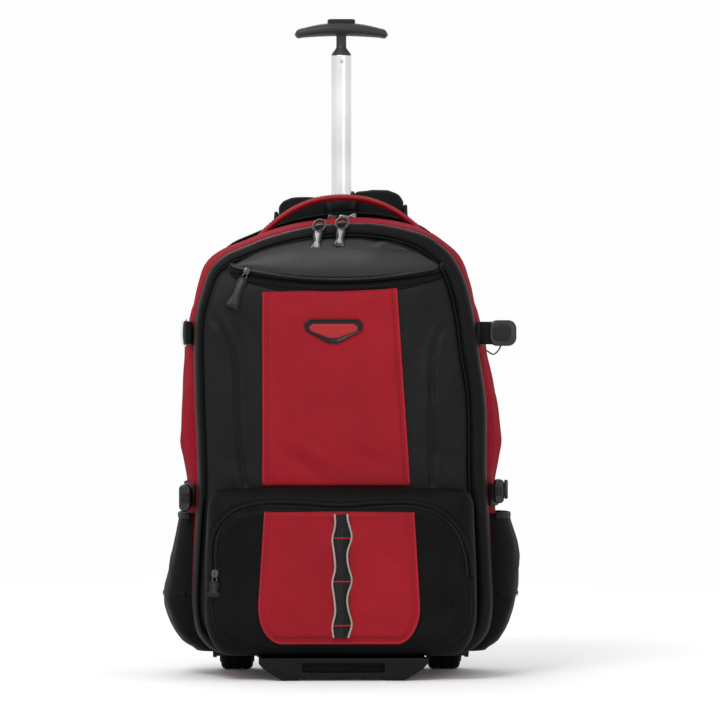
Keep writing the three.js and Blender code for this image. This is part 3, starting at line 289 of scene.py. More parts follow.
def ribbed(name, dark, light, pitch=1.6, rough=0.58):
    """Webbing, ribbed across its length, read from the strip's own UV in metres."""
    made, start, shader, place = material(name)
    strip = start.node("ShaderNodeUVMap")
    strip.uv_map = "strip"
    u, v, _ = split(start, Sock(start.tree, strip.outputs["UV"]))
    turn = 2 * math.pi / (pitch * MM)
    ribs = (u * turn + (v * turn).sin() * 0.9).sin() * 0.5 + 0.5
    rows = (v * turn * 0.8).sin() * 0.5 + 0.5
    slow = noise(start, place, 30.0, 2.0)
    colour = (ribs * 0.5 + rows * 0.2 + slow * 0.4).between(0.15, 0.95).tint(dark, light)
    finish_shader(start, shader, colour, slow * 0.12 + (rough - 0.06), ribs * 0.8 + rows * 0.4, 0.0004,
                  0.6, Sheen_Weight=0.04, Sheen_Roughness=0.4, Specular_IOR_Level=0.2)
    return made


def moulded(name, dark, light, rough=0.42, grain=900.0, strength=0.25, gloss=0.25):
    """Moulded plastic or rubber: a fine grain, scuffs and a little dust where it is rough."""
    made, start, shader, place = material(name)
    grainy = noise(start, place, grain, 2.0)
    scuff = noise(start, place, 55.0, 4.0, 0.65)
    slow = noise(start, place, 12.0, 2.0)
    marks = scuff.between(0.56, 0.74)
    colour = (slow * 0.6 + grainy * 0.2 + marks * 0.35).between(0.2, 0.95).tint(dark, light)
    finish_shader(start, shader, colour, slow * 0.12 + marks * 0.14 + (rough - 0.08), grainy + scuff * 0.8,
                  0.0003, strength, Specular_IOR_Level=gloss)
    return made


def bright(name, dark, light, rough=0.28, along_z=True):
    """Drawn or polished metal with hairlines along it."""
    made, start, shader, place = material(name)
    stretch = (700.0, 700.0, 6.0) if along_z else (6.0, 700.0, 700.0)
    lines_at = start.out("ShaderNodeMapping", 0, Vector=place, Scale=stretch)
    lines = noise(start, lines_at, 1.0, 2.0)
    slow = noise(start, place, 18.0, 3.0)
    colour = (lines * 0.35 + slow * 0.65).between(0.25, 0.75).tint(dark, light)
    finish_shader(start, shader, colour, lines * 0.12 + slow * 0.1 + (rough - 0.1), lines, 0.00012, 0.2,
                  Metallic=0.92)
    return made


RED_NYLON = woven("red nylon", (0.185, 0.0035, 0.0085), (0.285, 0.0065, 0.0145), sheen=0.02, gloss=0.12)
RED_GUSSET = woven("red gusset nylon", (0.170, 0.0040, 0.010), (0.270, 0.0072, 0.018), slack=0.9,
                   rough=0.7, gloss=0.03)
RED_PIPING = woven("red piping", (0.210, 0.005, 0.011), (0.330, 0.009, 0.019), pitch=0.9, sheen=0.05)
BLACK_NYLON = woven("black nylon", (0.0028, 0.0030, 0.0030), (0.0075, 0.0080, 0.0078), rough=0.44,
                    slack=0.8, gloss=0.12)
# Black nylon for the hood and its edge: a lighter copy of the black nylon, a painted highlight where the hood
# tilts up to the key light; its higher gloss is real shading.
HIGHLIT_HOOD_NYLON = woven("black nylon lightened as painted highlight", (0.0035, 0.0036, 0.0036), (0.0100, 0.0103, 0.0101), rough=0.40,
                   slack=1.1, gloss=0.38)
# Darker, duller black nylon for the pockets and shoulder pads; the patch below the upper zip uses it as
# painted shade.
LOWER_NYLON = woven("dull black nylon and painted shade", (0.0020, 0.0021, 0.0021), (0.0052, 0.0055, 0.0053), rough=0.55,
                    gloss=0.06)
BLACK_BAND = woven("black rolled edge", (0.0024, 0.0025, 0.0024), (0.0064, 0.0067, 0.0064), pitch=1.4,
                   rough=0.52, slack=1.2, gloss=0.08)
BLACK_MESH = mesh_cloth("black mesh", (0.0010, 0.0010, 0.0011), (0.0034, 0.0035, 0.0036))
PAD_MESH = mesh_cloth("pad mesh", (0.003, 0.003, 0.0033), (0.016, 0.016, 0.0170), pitch=3.2)
WEBBING = ribbed("black webbing", (0.0030, 0.0030, 0.0033), (0.0100, 0.0100, 0.0106))
PALE_EDGE = ribbed("pale reflective edge", (0.24, 0.22, 0.19), (0.44, 0.41, 0.36), pitch=1.0, rough=0.42)
ZIP_CLOTH = ribbed("zip tape", (0.0025, 0.0025, 0.003), (0.0070, 0.0070, 0.0074), pitch=0.9)
ZIP_COIL = moulded("zip coil", (0.004, 0.004, 0.0045), (0.012, 0.012, 0.013), rough=0.34)
RED_THREAD = moulded("red thread", (0.36, 0.012, 0.024), (0.52, 0.03, 0.05), rough=0.6)
DARK_THREAD = moulded("dark red thread", (0.05, 0.004, 0.007), (0.10, 0.008, 0.013), rough=0.6)
GREY_THREAD = moulded("grey thread", (0.012, 0.012, 0.013), (0.030, 0.030, 0.032), rough=0.6)
BLACK_PLASTIC = moulded("black plastic", (0.0035, 0.0035, 0.0038), (0.0095, 0.0095, 0.0100))
GREY_PLASTIC = moulded("grey grip plastic", (0.020, 0.021, 0.023), (0.042, 0.044, 0.047), rough=0.48)
GLOSS_PLASTIC = moulded("smooth buckle plastic", (0.0040, 0.0040, 0.0044), (0.0110, 0.0110, 0.0118),
                        rough=0.26, grain=500.0, strength=0.1, gloss=0.45)
STAND_PLASTIC = moulded("stand plastic", (0.0028, 0.0028, 0.0030), (0.0076, 0.0076, 0.0080), rough=0.5,
                        gloss=0.14)
WHEEL_RUBBER = moulded("wheel rubber", (0.003, 0.003, 0.003), (0.008, 0.008, 0.008), rough=0.7, grain=420.0,
                       gloss=0.1)
BADGE_RUBBER = moulded("badge rubber", (0.0035, 0.0035, 0.004), (0.008, 0.008, 0.009), rough=0.36)
BADGE_FIELD = moulded("badge red field", (0.27, 0.010, 0.013), (0.38, 0.017, 0.021), rough=0.36)
POLE_SILVER = bright("silver pole", (0.60, 0.61, 0.62), (0.78, 0.79, 0.80), rough=0.3)
PULL_METAL = bright("zip pull metal", (0.030, 0.031, 0.033), (0.130, 0.133, 0.138), rough=0.26)
# Pale metal: real on the rear pull's tab, a painted highlight on the cores of the main pulls' tabs and on
# their slider bridges.
PALE_METAL_AND_GLINT = bright("pale pull metal and painted highlight", (0.20, 0.205, 0.21), (0.42, 0.425, 0.43), rough=0.3)
STEEL = bright("steel pin", (0.30, 0.31, 0.32), (0.50, 0.51, 0.53), along_z=False)


# Shapes
def unit(vectors):
    return vectors / np.maximum(np.linalg.norm(vectors, axis=-1, keepdims=True), 1e-9)


def smooth(value, low, high):
    share = np.clip((value - low) / (high - low), 0.0, 1.0)
    return share * share * (3 - 2 * share)


def column(rows, index, share):
    heights = [row[0] for row in rows]
    return np.interp(share, heights, [row[index] for row in rows])


def curve_through(points, closed, count):
    """Centripetal curve through points, evenly spaced along its length."""
    points = np.asarray(points, float)
    total = len(points)
    spans = total if closed else total - 1

    def pick(index):
        if closed:
            return points[index % total]
        if index < 0:
            return 2 * points[0] - points[1]
        if index >= total:
            return 2 * points[-1] - points[-2]
        return points[index]

    dense = []
    for step in range(spans * 24 + (0 if closed else 1)):
        span = min(step // 24, spans - 1)
        share = step / 24 - span
        p0, p1, p2, p3 = (pick(span + offset) for offset in (-1, 0, 1, 2))
        d0, d1, d2 = (max(np.linalg.norm(b - a) ** 0.5, 1e-4) for a, b in ((p0, p1), (p1, p2), (p2, p3)))
        t1 = ((p1 - p0) / d0 - (p2 - p0) / (d0 + d1) + (p2 - p1) / d1) * d1
        t2 = ((p2 - p1) / d1 - (p3 - p1) / (d1 + d2) + (p3 - p2) / d2) * d1
        dense.append(p1 + t1 * share + (3 * (p2 - p1) - 2 * t1 - t2) * share ** 2
                     + (2 * (p1 - p2) + t1 + t2) * share ** 3)
    dense = np.array(dense)
    if closed:
        dense = np.vstack([dense, dense[:1]])
    lengths = np.concatenate([[0], np.cumsum(np.linalg.norm(np.diff(dense, axis=0), axis=1))])
    wanted = np.linspace(0, lengths[-1], count + 1)[:-1] if closed else np.linspace(0, lengths[-1], count)
    return np.stack([np.interp(wanted, lengths, dense[:, axis]) for axis in range(dense.shape[1])], axis=1)


def outline(rows, bottom, height, width, swell=0.0, lean=0.0, shift=0.0, count=240):
    """Closed outline in x and z with its outward normals and swell."""
    full = [row if len(row) == 4 else (*row, 0.0, 0.0) for row in rows]

    def side(row, sign):
        return (shift + row[3] * lean + sign * row[1] * width / 2, bottom + row[0] * height)

    points = [side(row, 1) for row in full] + [side(row, -1) for row in full[:-1][::-1]]
    ring = curve_through(points, True, count)
    ring[:, 1] = np.maximum(ring[:, 1], bottom)
    tangent = unit(np.roll(ring, -1, axis=0) - np.roll(ring, 1, axis=0))
    normal = np.stack([tangent[:, 1], -tangent[:, 0]], axis=1)
    share = (ring[:, 1] - bottom) / height
    blurred = sum(column(full, 2, share + step) for step in (-0.04, -0.02, 0.0, 0.02, 0.04)) / 5
    return ring, normal, swell * blurred


def push_out(ring, profile, push):
    """Moves a ring along its profile's normals."""
    ring[:, [0, 2]] += profile[1] * push[:, None]


def out_of(profile, back=0.0):
    """A profile's normals in space, leaning back as asked."""
    share = math.sqrt(1 - back ** 2)
    return np.insert(profile[1] * share, 1, back, axis=1)


def squared(value, power):
    return np.sign(value) * np.abs(value) ** power


def ring_at(profile, y, grow, swell_share=0.0, shift=0.0):
    ring, normal, swell = profile
    placed = ring + normal * (grow + swell * swell_share)[:, None]
    x = placed[:, 0] + shift
    z = placed[:, 1]
    depth = y(x, z) if callable(y) else np.full_like(x, y)
    return np.stack([x, depth, z], axis=1)


def edge_distance(ring, x, z):
    """Distance from points to a closed ring's edge, seen along Y."""
    start = ring
    step = np.roll(ring, -1, axis=0) - ring
    nearest = np.full(np.shape(x), np.inf)
    squared = np.maximum((step ** 2).sum(axis=1), 1e-9)
    for (sx, sz), (dx, dz), size in zip(start, step, squared):
        share = np.clip(((x - sx) * dx + (z - sz) * dz) / size, 0, 1)
        nearest = np.minimum(nearest, np.hypot(x - sx - share * dx, z - sz - share * dz))
    return nearest


def line_distance(path, x, z):
    """Distance from points to an open line, and how far along it the nearest place lies, 0 to 1."""
    nearest = np.full(np.shape(x), np.inf)
    along = np.zeros(np.shape(x))
    spans = len(path) - 1
    for index in range(spans):
        (sx, sz), (ex, ez) = path[index], path[index + 1]
        dx, dz = ex - sx, ez - sz
        share = np.clip(((x - sx) * dx + (z - sz) * dz) / max(dx * dx + dz * dz, 1e-9), 0, 1)
        apart = np.hypot(x - sx - share * dx, z - sz - share * dz)
        closer = apart < nearest
        nearest = np.where(closer, apart, nearest)
        along = np.where(closer, (index + share) / spans, along)
    return nearest, along


def folds(table, x, z):
    """Height of long soft folds: each row is start, end, half width and height in millimetres."""
    height = np.zeros(np.shape(x))
    for x0, z0, x1, z1, width, rise in table:
        apart, along = line_distance(np.array([[x0, z0], [x1, z1]]), x, z)
        height += rise * np.exp(-(apart / width) ** 2) * np.sin(np.pi * np.clip(along, 0.04, 0.96)) ** 0.7
    return height


WAVES = np.random.default_rng(7)
RIPPLE_ROWS = [(WAVES.uniform(0.02, 0.075), WAVES.uniform(0, 2 * np.pi), WAVES.uniform(0, 2 * np.pi))
               for _ in range(14)]


def ripples(a, b, size=1.0):
    """Slow uneven ripples of cloth over two surface directions, about -1 to 1."""
    total = np.zeros(np.shape(a))
    for turn, heading, phase in RIPPLE_ROWS:
        total += np.sin((a * np.cos(heading) + b * np.sin(heading)) * turn / size + phase)
    return total / 6.0


FRONT_RINGS = 240
BODY = outline(BODY_ROWS, BODY_BOTTOM, BODY_HEIGHT, BODY_WIDTH, SIDE_SWELL, BODY_LEAN, count=FRONT_RINGS)
REAR = outline(BODY_ROWS, BODY_BOTTOM, BODY_HEIGHT * REAR_RISE, BODY_WIDTH * REAR_TAPER, SIDE_SWELL,
               BODY_LEAN, count=FRONT_RINGS)
LOWER = outline(LOWER_ROWS, LOWER_BOTTOM, LOWER_HEIGHT, LOWER_WIDTH, shift=LOWER_SHIFT, count=200)
SEAM = ring_at(BODY, 0.0, -BAND_WIDTH, 0.0, PANEL_SHIFT)[:, [0, 2]]
LOWER_EDGE = LOWER[0]


def rise_from(distance, reach):
    return np.sqrt(np.clip(1 - (1 - np.minimum(distance / reach, 1)) ** 2, 0, 1))


def ease(z):
    return 1 - TOP_EASE * smooth(z, BODY_BOTTOM + BODY_HEIGHT * 0.8, BODY_TOP)


def panel_y(x, z):
    """Depth of the front panel inside the band's seam."""
    rise = rise_from(edge_distance(SEAM, x, z), PANEL_RISE)
    return FRONT_RIM - FRONT_DEPTH * ease(z) * (SEAM_DEPTH + (1 - SEAM_DEPTH) * rise)


def lower_y(x, z):
    """Depth of the lower pocket's face."""
    reach = LOWER_ROUND * (1 + 0.35 * smooth(z, LOWER_TOP - LOWER_HEIGHT * 0.3, LOWER_TOP))
    return LOWER_RIM + (LOWER_FRONT - LOWER_RIM) * rise_from(edge_distance(LOWER_EDGE, x, z), reach)


def zip_z(x):
    return ZIP_HEIGHT + ZIP_RISE * ((x - PANEL_SHIFT) / ZIP_SIDE) ** 2


def side_x(sign, y, z):
    """x of the bag's side at a depth and height."""
    share = (z - BODY_BOTTOM) / BODY_HEIGHT
    swell = column(MAIN_SWELL, 1, np.clip((y - BODY_FRONT) / BODY_DEPTH, 0, 1))
    side = column(BODY_ROWS, 1, share) * BODY_WIDTH / 2 + swell * SIDE_SWELL * column(BODY_ROWS, 2, share)
    return sign * side + column(BODY_ROWS, 3, share) * BODY_LEAN


EDGE_ANGLE = 35.0


# Mesh making
def add_plain(name, data):
    piece = bpy.data.objects.new(name, data)
    bpy.context.scene.collection.objects.link(piece)
    return piece


def evaluated_mesh(piece):
    """A plain mesh of the piece with its modifiers' results."""
    depsgraph = bpy.context.evaluated_depsgraph_get()
    depsgraph.update()
    return bpy.data.meshes.new_from_object(piece.evaluated_get(depsgraph), depsgraph=depsgraph)


def read_points(mesh):
    flat = np.zeros(len(mesh.vertices) * 3)
    mesh.vertices.foreach_get("co", flat)
    return flat.reshape(-1, 3)


def add_object(name, mesh, finish):
    piece = add_plain(name, mesh)
    for one in finish if isinstance(finish, (list, tuple)) else [finish]:
        mesh.materials.append(one)
    mesh.shade_smooth()
    return piece


def mesh_from(name, points, faces, finish, strip=None, slots=None):
    """A mesh object from millimetre points. strip holds a u, v in metres for each point."""
    mesh = bpy.data.meshes.new(name)
    placed = np.asarray(points, float).reshape(-1, 3) * MM + SHIFT
    mesh.from_pydata(placed.tolist(), [], [list(map(int, face)) for face in faces])
    if strip is not None:
        layer = mesh.uv_layers.new(name="strip")
        corners = np.zeros(len(mesh.loops), dtype=np.int32)
        mesh.loops.foreach_get("vertex_index", corners)
        layer.data.foreach_set("uv", np.asarray(strip, float).reshape(-1, 2)[corners].ravel())
    if slots is not None:
        mesh.polygons.foreach_set("material_index", np.asarray(slots, np.int32))
    made = bmesh.new()
    made.from_mesh(mesh)
    bmesh.ops.remove_doubles(made, verts=made.verts, dist=1e-6)
    bmesh.ops.dissolve_degenerate(made, dist=1e-7, edges=made.edges)
    bmesh.ops.recalc_face_normals(made, faces=made.faces)
    made.to_mesh(mesh)
    made.free()
    return add_object(name, mesh, finish)


def grid_faces(rows, columns, around, looped=False):
    """Quads of a grid of rows by columns points, closed round its columns or its rows if asked."""
    faces = []
    for row in range(rows if looped else rows - 1):
        after = (row + 1) % rows
        for place in range(columns if around else columns - 1):
            beside = (place + 1) % columns
            faces.append((row * columns + place, row * columns + beside, after * columns + beside,
                          after * columns + place))
    return faces


def shell(name, rings, finish, caps=(True, True)):
    """Closed skin through rings of equal length, its ends filled where asked."""
    rings = np.asarray(rings)
    rows, columns = rings.shape[:2]
    faces = grid_faces(rows, columns, True)
    if caps[0]:
        faces.append(tuple(range(columns)))
    if caps[1]:
        faces.append(tuple(range(rows * columns - 1, (rows - 1) * columns - 1, -1)))
    return mesh_from(name, rings, faces, finish)


def sweep(name, path, normals, section, finish, looped=False, bend=None):
    """Carries a closed section of (across, out) points along a path, with a strip UV in metres."""
    path = np.asarray(path, float)
    normals = np.broadcast_to(np.asarray(normals, float), path.shape)
    if looped:
        tangent = unit(np.roll(path, -1, axis=0) - np.roll(path, 1, axis=0))
    else:
        tangent = unit(np.gradient(path, axis=0))
    across = unit(np.cross(tangent, normals))
    out = unit(np.cross(across, tangent))
    section = np.asarray(section, float)
    if section.ndim == 2:
        section = np.repeat(section[None], len(path), axis=0)
    rings = path[:, None] + section[..., :1] * across[:, None] + section[..., 1:] * out[:, None]
    rings = rings if bend is None else bend(rings)
    rows, columns = rings.shape[:2]
    faces = grid_faces(rows, columns, True, looped)
    if not looped:
        faces.append(tuple(range(columns)))
        faces.append(tuple(range(rows * columns - 1, (rows - 1) * columns - 1, -1)))
    steps = np.linalg.norm(np.diff(path, axis=0), axis=1)
    along = np.concatenate([[0], np.cumsum(steps)]) * MM
    strip = np.stack([np.repeat(along[:, None], columns, axis=1), section[..., 0] * MM], axis=-1)
    return mesh_from(name, rings, faces, finish, strip)


def flat_section(width, thickness, crown=0.0):
    """Section of a flat band with softened edges."""
    half, deep = width / 2, thickness / 2
    soft = min(deep, half) * 0.7
    top = [(-half + soft, deep), (-half / 2, deep + crown * 0.75), (0, deep + crown),
           (half / 2, deep + crown * 0.75), (half - soft, deep)]
    return [(-half, deep - soft), *top, (half, deep - soft), (half, -deep + soft * 0.6),
            (half - soft, -deep), (-half + soft, -deep), (-half, -deep + soft * 0.6)]


def round_section(width, thickness, sides=20, square=0.45, flat=0.8):
    """Section of a padded band: broad, with rounded edges."""
    angles = (np.arange(sides) + 0.5) * 2 * np.pi / sides
    across, out = squared(np.cos(angles), square), squared(np.sin(angles), flat)
    return np.stack([across * width / 2, out * thickness / 2], axis=1)


def lathe(name, profile, finish, centre, axis="z", segments=48):
    """Solid of revolution from (radius, along) pairs about an axis through centre."""
    angles = np.arange(segments) * 2 * np.pi / segments
    rings = []
    for radius, along in profile:
        a, b, c = radius * np.cos(angles), radius * np.sin(angles), np.full(segments, along)
        rings.append(np.stack({"z": (a, b, c), "x": (c, a, b), "y": (a, c, b)}[axis], axis=1) + centre)
    rings = np.array(rings)
    rows = len(rings)
    return mesh_from(name, rings, grid_faces(rows, segments, True), finish)


def block(name, outline_points, depth, finish, axis="y", middle=0.0, bevel=1.0, segments=3):
    """A flat shape given thickness along an axis, its edges rounded."""
    flat = np.asarray(outline_points, float)
    count = len(flat)
    sides = []
    for level in (middle - depth / 2, middle + depth / 2):
        fill = np.full(count, level)
        sides.append(np.stack({"y": (flat[:, 0], fill, flat[:, 1]), "x": (fill, flat[:, 0], flat[:, 1]),
                               "z": (flat[:, 0], flat[:, 1], fill)}[axis], axis=1))
    faces = grid_faces(2, count, True) + [tuple(range(count)), tuple(range(2 * count - 1, count - 1, -1))]
    piece = mesh_from(name, np.array(sides), faces, finish)
    if bevel:
        soften(piece, bevel, segments)
    return piece


def soften(piece, width, segments=3):
    edge = piece.modifiers.new("edges", "BEVEL")
    edge.width = width * MM
    edge.segments = segments
    edge.limit_method = "ANGLE"
    edge.angle_limit = math.radians(EDGE_ANGLE)
    edge.harden_normals = False


def rounded_shape(left, right, bottom, top, radius, steps=6):
    corners = [(right - radius, bottom + radius, -90), (right - radius, top - radius, 0),
               (left + radius, top - radius, 90), (left + radius, bottom + radius, 180)]
    return [(x + radius * math.cos(math.radians(start + 90 * step / steps)),
             z + radius * math.sin(math.radians(start + 90 * step / steps)))
            for x, z, start in corners for step in range(steps + 1)]


def joined(name, pieces):
    """One object from several, keeping their materials and modifiers' results."""
    made = bmesh.new()
    slots = []
    for piece in pieces:
        mesh = evaluated_mesh(piece)
        offset = []
        for one in mesh.materials:
            if one not in slots:
                slots.append(one)
            offset.append(slots.index(one))
        first = len(made.faces)
        made.from_mesh(mesh)
        made.faces.ensure_lookup_table()
        for face in made.faces[first:]:
            face.material_index = offset[face.material_index] if offset else 0
        bpy.data.meshes.remove(mesh)
    for piece in pieces:
        old = piece.data
        bpy.data.objects.remove(piece)
        bpy.data.meshes.remove(old)
    mesh = bpy.data.meshes.new(name)
    made.to_mesh(mesh)
    made.free()
    return add_object(name, mesh, slots)


def along_path_tree():
    """Tree that sets copies of an item along a line of points, turned to its path and its normals."""
    tree = bpy.data.node_groups.new("set along a path", "GeometryNodeTree")
    face = tree.interface
    face.new_socket("Geometry", in_out="INPUT", socket_type="NodeSocketGeometry")
    for name, kind in (("Item", "Object"), ("Spacing", "Float"), ("Uneven", "Float"), ("Seed", "Int"),
                       ("Finish", "Material")):
        face.new_socket(name, in_out="INPUT", socket_type=f"NodeSocket{kind}")
    face.new_socket("Geometry", in_out="OUTPUT", socket_type="NodeSocketGeometry")
    node = tree.nodes.new
    entry, leave = node("NodeGroupInput"), node("NodeGroupOutput")
    to_curve = node("GeometryNodeMeshToCurve")
    resample = node("GeometryNodeResampleCurve")
    resample.mode = "LENGTH"
    normal = node("GeometryNodeInputNamedAttribute")
    normal.data_type = "FLOAT_VECTOR"
    normal.inputs["Name"].default_value = "out"
    tangent = node("GeometryNodeInputTangent")
    capture = node("GeometryNodeCaptureAttribute")
    capture.capture_items.new("VECTOR", "Way")
    points = node("GeometryNodeCurveToPoints")
    points.mode = "EVALUATED"
    first = node("FunctionNodeAlignRotationToVector")
    first.axis = "X"
    second = node("FunctionNodeAlignRotationToVector")
    second.axis = "Z"
    second.pivot_axis = "X"
    item = node("GeometryNodeObjectInfo")
    place = node("GeometryNodeInstanceOnPoints")
    vary = node("FunctionNodeRandomValue")
    spread = node("ShaderNodeMath")
    spread.operation = "SUBTRACT"
    spread.inputs[0].default_value = 1.0
    vary.inputs[3].default_value = 1.0
    realize = node("GeometryNodeRealizeInstances")
    paint = node("GeometryNodeSetMaterial")
    wires = [
        (entry, "Geometry", to_curve, "Mesh"), (to_curve, "Curve", resample, "Curve"),
        (entry, "Spacing", resample, "Length"), (resample, "Curve", capture, "Geometry"),
        (tangent, "Tangent", capture, "Way"), (capture, "Geometry", points, "Curve"),
        (capture, "Way", first, "Vector"), (first, "Rotation", second, "Rotation"),
        (normal, "Attribute", second, "Vector"), (entry, "Item", item, "Object"),
        (entry, "Uneven", spread, 1), (spread, "Value", vary, 2), (entry, "Seed", vary, "Seed"),
        (points, "Points", place, "Points"), (item, "Geometry", place, "Instance"),
        (second, "Rotation", place, "Rotation"), (vary, 1, place, "Scale"),
        (place, "Instances", realize, "Geometry"), (realize, "Geometry", paint, "Geometry"),
        (entry, "Finish", paint, "Material"), (paint, "Geometry", leave, "Geometry"),
    ]
    for source, out_socket, target, in_socket in wires:
        tree.links.new(source.outputs[out_socket], target.inputs[in_socket])
    return tree


ALONG_PATH = along_path_tree()
SPACING_SEED = 3


def item_mesh(name, kind, size):
    """A small closed item in millimetres: a bead, drawn out to its size, or a softened bar."""
    mesh = bpy.data.meshes.new(name)
    made = bmesh.new()
    if kind == "bead":
        bmesh.ops.create_icosphere(made, subdivisions=1, radius=0.5)
    else:
        bmesh.ops.create_cube(made, size=1.0)
    bmesh.ops.scale(made, vec=Vector(size) * MM, verts=made.verts)
    if kind == "bar":
        bmesh.ops.bevel(made, geom=made.edges[:], offset=min(size) * 0.25 * MM, segments=1, affect="EDGES")
    made.to_mesh(mesh)
    made.free()
    return mesh


def set_along(name, path, normals, kind, size, spacing, finish, looped=False, uneven=0.1):
    """Repeats a bead or bar along a path: stitches, zip teeth, ribs."""
    path = np.asarray(path, float)
    normals = np.broadcast_to(np.asarray(normals, float), path.shape)
    mesh = bpy.data.meshes.new(name)
    count = len(path)
    edges = [(index, index + 1) for index in range(count - 1)] + ([(count - 1, 0)] if looped else [])
    mesh.from_pydata((path * MM + SHIFT).tolist(), edges, [])
    outward = mesh.attributes.new("out", "FLOAT_VECTOR", "POINT")
    outward.data.foreach_set("vector", np.ascontiguousarray(normals, dtype=np.float32).ravel())
    carrier = add_plain(name, mesh)
    item = add_plain(name + " item", item_mesh(name + " item", kind, size))
    maker = carrier.modifiers.new("copies", "NODES")
    maker.node_group = ALONG_PATH
    wanted = {"Item": item, "Spacing": spacing * MM, "Uneven": uneven, "Seed": SPACING_SEED, "Finish": finish}
    for socket in ALONG_PATH.interface.items_tree:
        if socket.in_out == "INPUT" and socket.name in wanted:
            maker[socket.identifier] = wanted[socket.name]
    result = evaluated_mesh(carrier)
    bpy.data.objects.remove(carrier)
    bpy.data.objects.remove(item)
    result.name = name
    for attribute in [one.name for one in result.attributes if one.name in ("out", "Way")]:
        result.attributes.remove(result.attributes[attribute])
    result.shade_smooth()
    return add_plain(name, result)


def on_surface(surface, x, z, off=0.0):
    """Points on a front surface, and the surface's outward normals there."""
    x, z = np.asarray(x, float), np.asarray(z, float)
    step = 0.6
    slope_x = (surface(x + step, z) - surface(x - step, z)) / (2 * step)
    slope_z = (surface(x, z + step) - surface(x, z - step)) / (2 * step)
    normal = unit(np.stack([slope_x, -np.ones_like(x), slope_z], axis=-1))
    return np.stack([x, surface(x, z), z], axis=-1) + normal * off, normal


def surface_patch(name, x, z, surface, thickness, finish, sunk=1.0):
    """A sewn panel on a surface: grids of x and z, a height over the surface, and folded edges."""
    points, normal = on_surface(surface, x, z)
    rows, columns = x.shape
    height = thickness if isinstance(thickness, np.ndarray) else np.full(x.shape, float(thickness))
    top = points + normal * height[..., None]
    border = np.zeros(x.shape)
    border[[0, -1], :] = 1
    border[:, [0, -1]] = 1
    top = top - normal * (border * height * 0.5)[..., None]
    base = points - normal * sunk
    faces = grid_faces(rows, columns, False)
    edge = ([(0, c) for c in range(columns)] + [(r, columns - 1) for r in range(1, rows)]
            + [(rows - 1, c) for c in range(columns - 2, -1, -1)] + [(r, 0) for r in range(rows - 2, 0, -1)])
    count = rows * columns
    under = np.array([base[r, c] for r, c in edge])
    for index, (r, c) in enumerate(edge):
        after = (index + 1) % len(edge)
        r2, c2 = edge[after]
        faces.append((r2 * columns + c2, r * columns + c, count + index, count + after))
    faces.append(tuple(count + index for index in range(len(edge))))
    return mesh_from(name, np.vstack([top.reshape(-1, 3), under]), faces, finish)


def plump(piece, cap, pressure=4.0, voxel=5.0, hold=None):
    """Swells a padded piece with a short cloth run, no point moving further than cap millimetres."""
    remesh = piece.modifiers.new("even", "REMESH")
    remesh.mode = "VOXEL"
    remesh.voxel_size = voxel * MM
    even = evaluated_mesh(piece)
    finish = list(piece.data.materials)
    piece.modifiers.clear()
    piece.data = even
    even.materials.clear()
    for one in finish:
        even.materials.append(one)
    before = read_points(even)
    cloth = piece.modifiers.new("filling", "CLOTH")
    cloth.settings.use_pressure = True
    cloth.settings.uniform_pressure_force = pressure
    cloth.settings.quality = 4
    cloth.settings.effector_weights.gravity = 0.0
    cloth.settings.tension_stiffness = 12.0
    cloth.settings.bending_stiffness = 0.6
    scene = bpy.context.scene
    for number in range(1, 15):
        scene.frame_set(number)
    depsgraph = bpy.context.evaluated_depsgraph_get()
    moved = read_points(piece.evaluated_get(depsgraph).to_mesh()) - before
    piece.evaluated_get(depsgraph).to_mesh_clear()
    piece.modifiers.remove(cloth)
    scene.frame_set(1)
    size = np.linalg.norm(moved, axis=1, keepdims=True)
    moved *= np.minimum(1.0, cap * MM / np.maximum(size, 1e-9))
    placed = before + moved
    if hold is not None:
        placed = hold(placed)
    even.vertices.foreach_set("co", placed.ravel())
    even.shade_smooth()
    even.update()


def subdivide(piece):
    finer = piece.modifiers.new("finer", "SUBSURF")
    finer.levels = 1
    finer.render_levels = 1
    return piece


def settle(piece, replaced=(), body="bag"):
    """Rides a finished piece on its body, and hides the frame parts it stands for."""
    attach(piece, body)
    if replaced:
        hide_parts(*replaced)
    return piece


# Camera, light and floor
CAMERA_DISTANCE = 4.0
CAMERA_HEIGHT = 0.281
CAMERA_TURN = math.radians(1.2)
AIM_HEIGHT = 0.3406
WIDE_AT_FRONT = 720 * 1.06 * MM


def make_camera():
    camera = add_plain("camera", bpy.data.cameras.new("camera"))
    front = -125 * MM + SHIFT[1]
    camera.location = (SHIFT[0] + 16.5 * 1.06 * MM - math.sin(CAMERA_TURN) * CAMERA_DISTANCE,
                       front - math.cos(CAMERA_TURN) * CAMERA_DISTANCE, CAMERA_HEIGHT)
    camera.rotation_euler = (math.pi / 2, 0, -CAMERA_TURN)
    camera.data.sensor_width = 36.0
    camera.data.lens = 36.0 * CAMERA_DISTANCE / WIDE_AT_FRONT
    camera.data.shift_y = (AIM_HEIGHT - CAMERA_HEIGHT) / WIDE_AT_FRONT
    camera.data.clip_end = 200
    bpy.context.scene.camera = camera


def add_light(name, place, aim, size, power):
    light = bpy.data.lights.new(name, "AREA")
    light.shape = "RECTANGLE"
    light.size, light.size_y = size
    light.energy = power
    lamp = add_plain(name, light)
    lamp.location = place
    lamp.rotation_euler = (Vector(aim) - Vector(place)).to_track_quat("-Z", "Y").to_euler()


BACKGROUND = 0.985


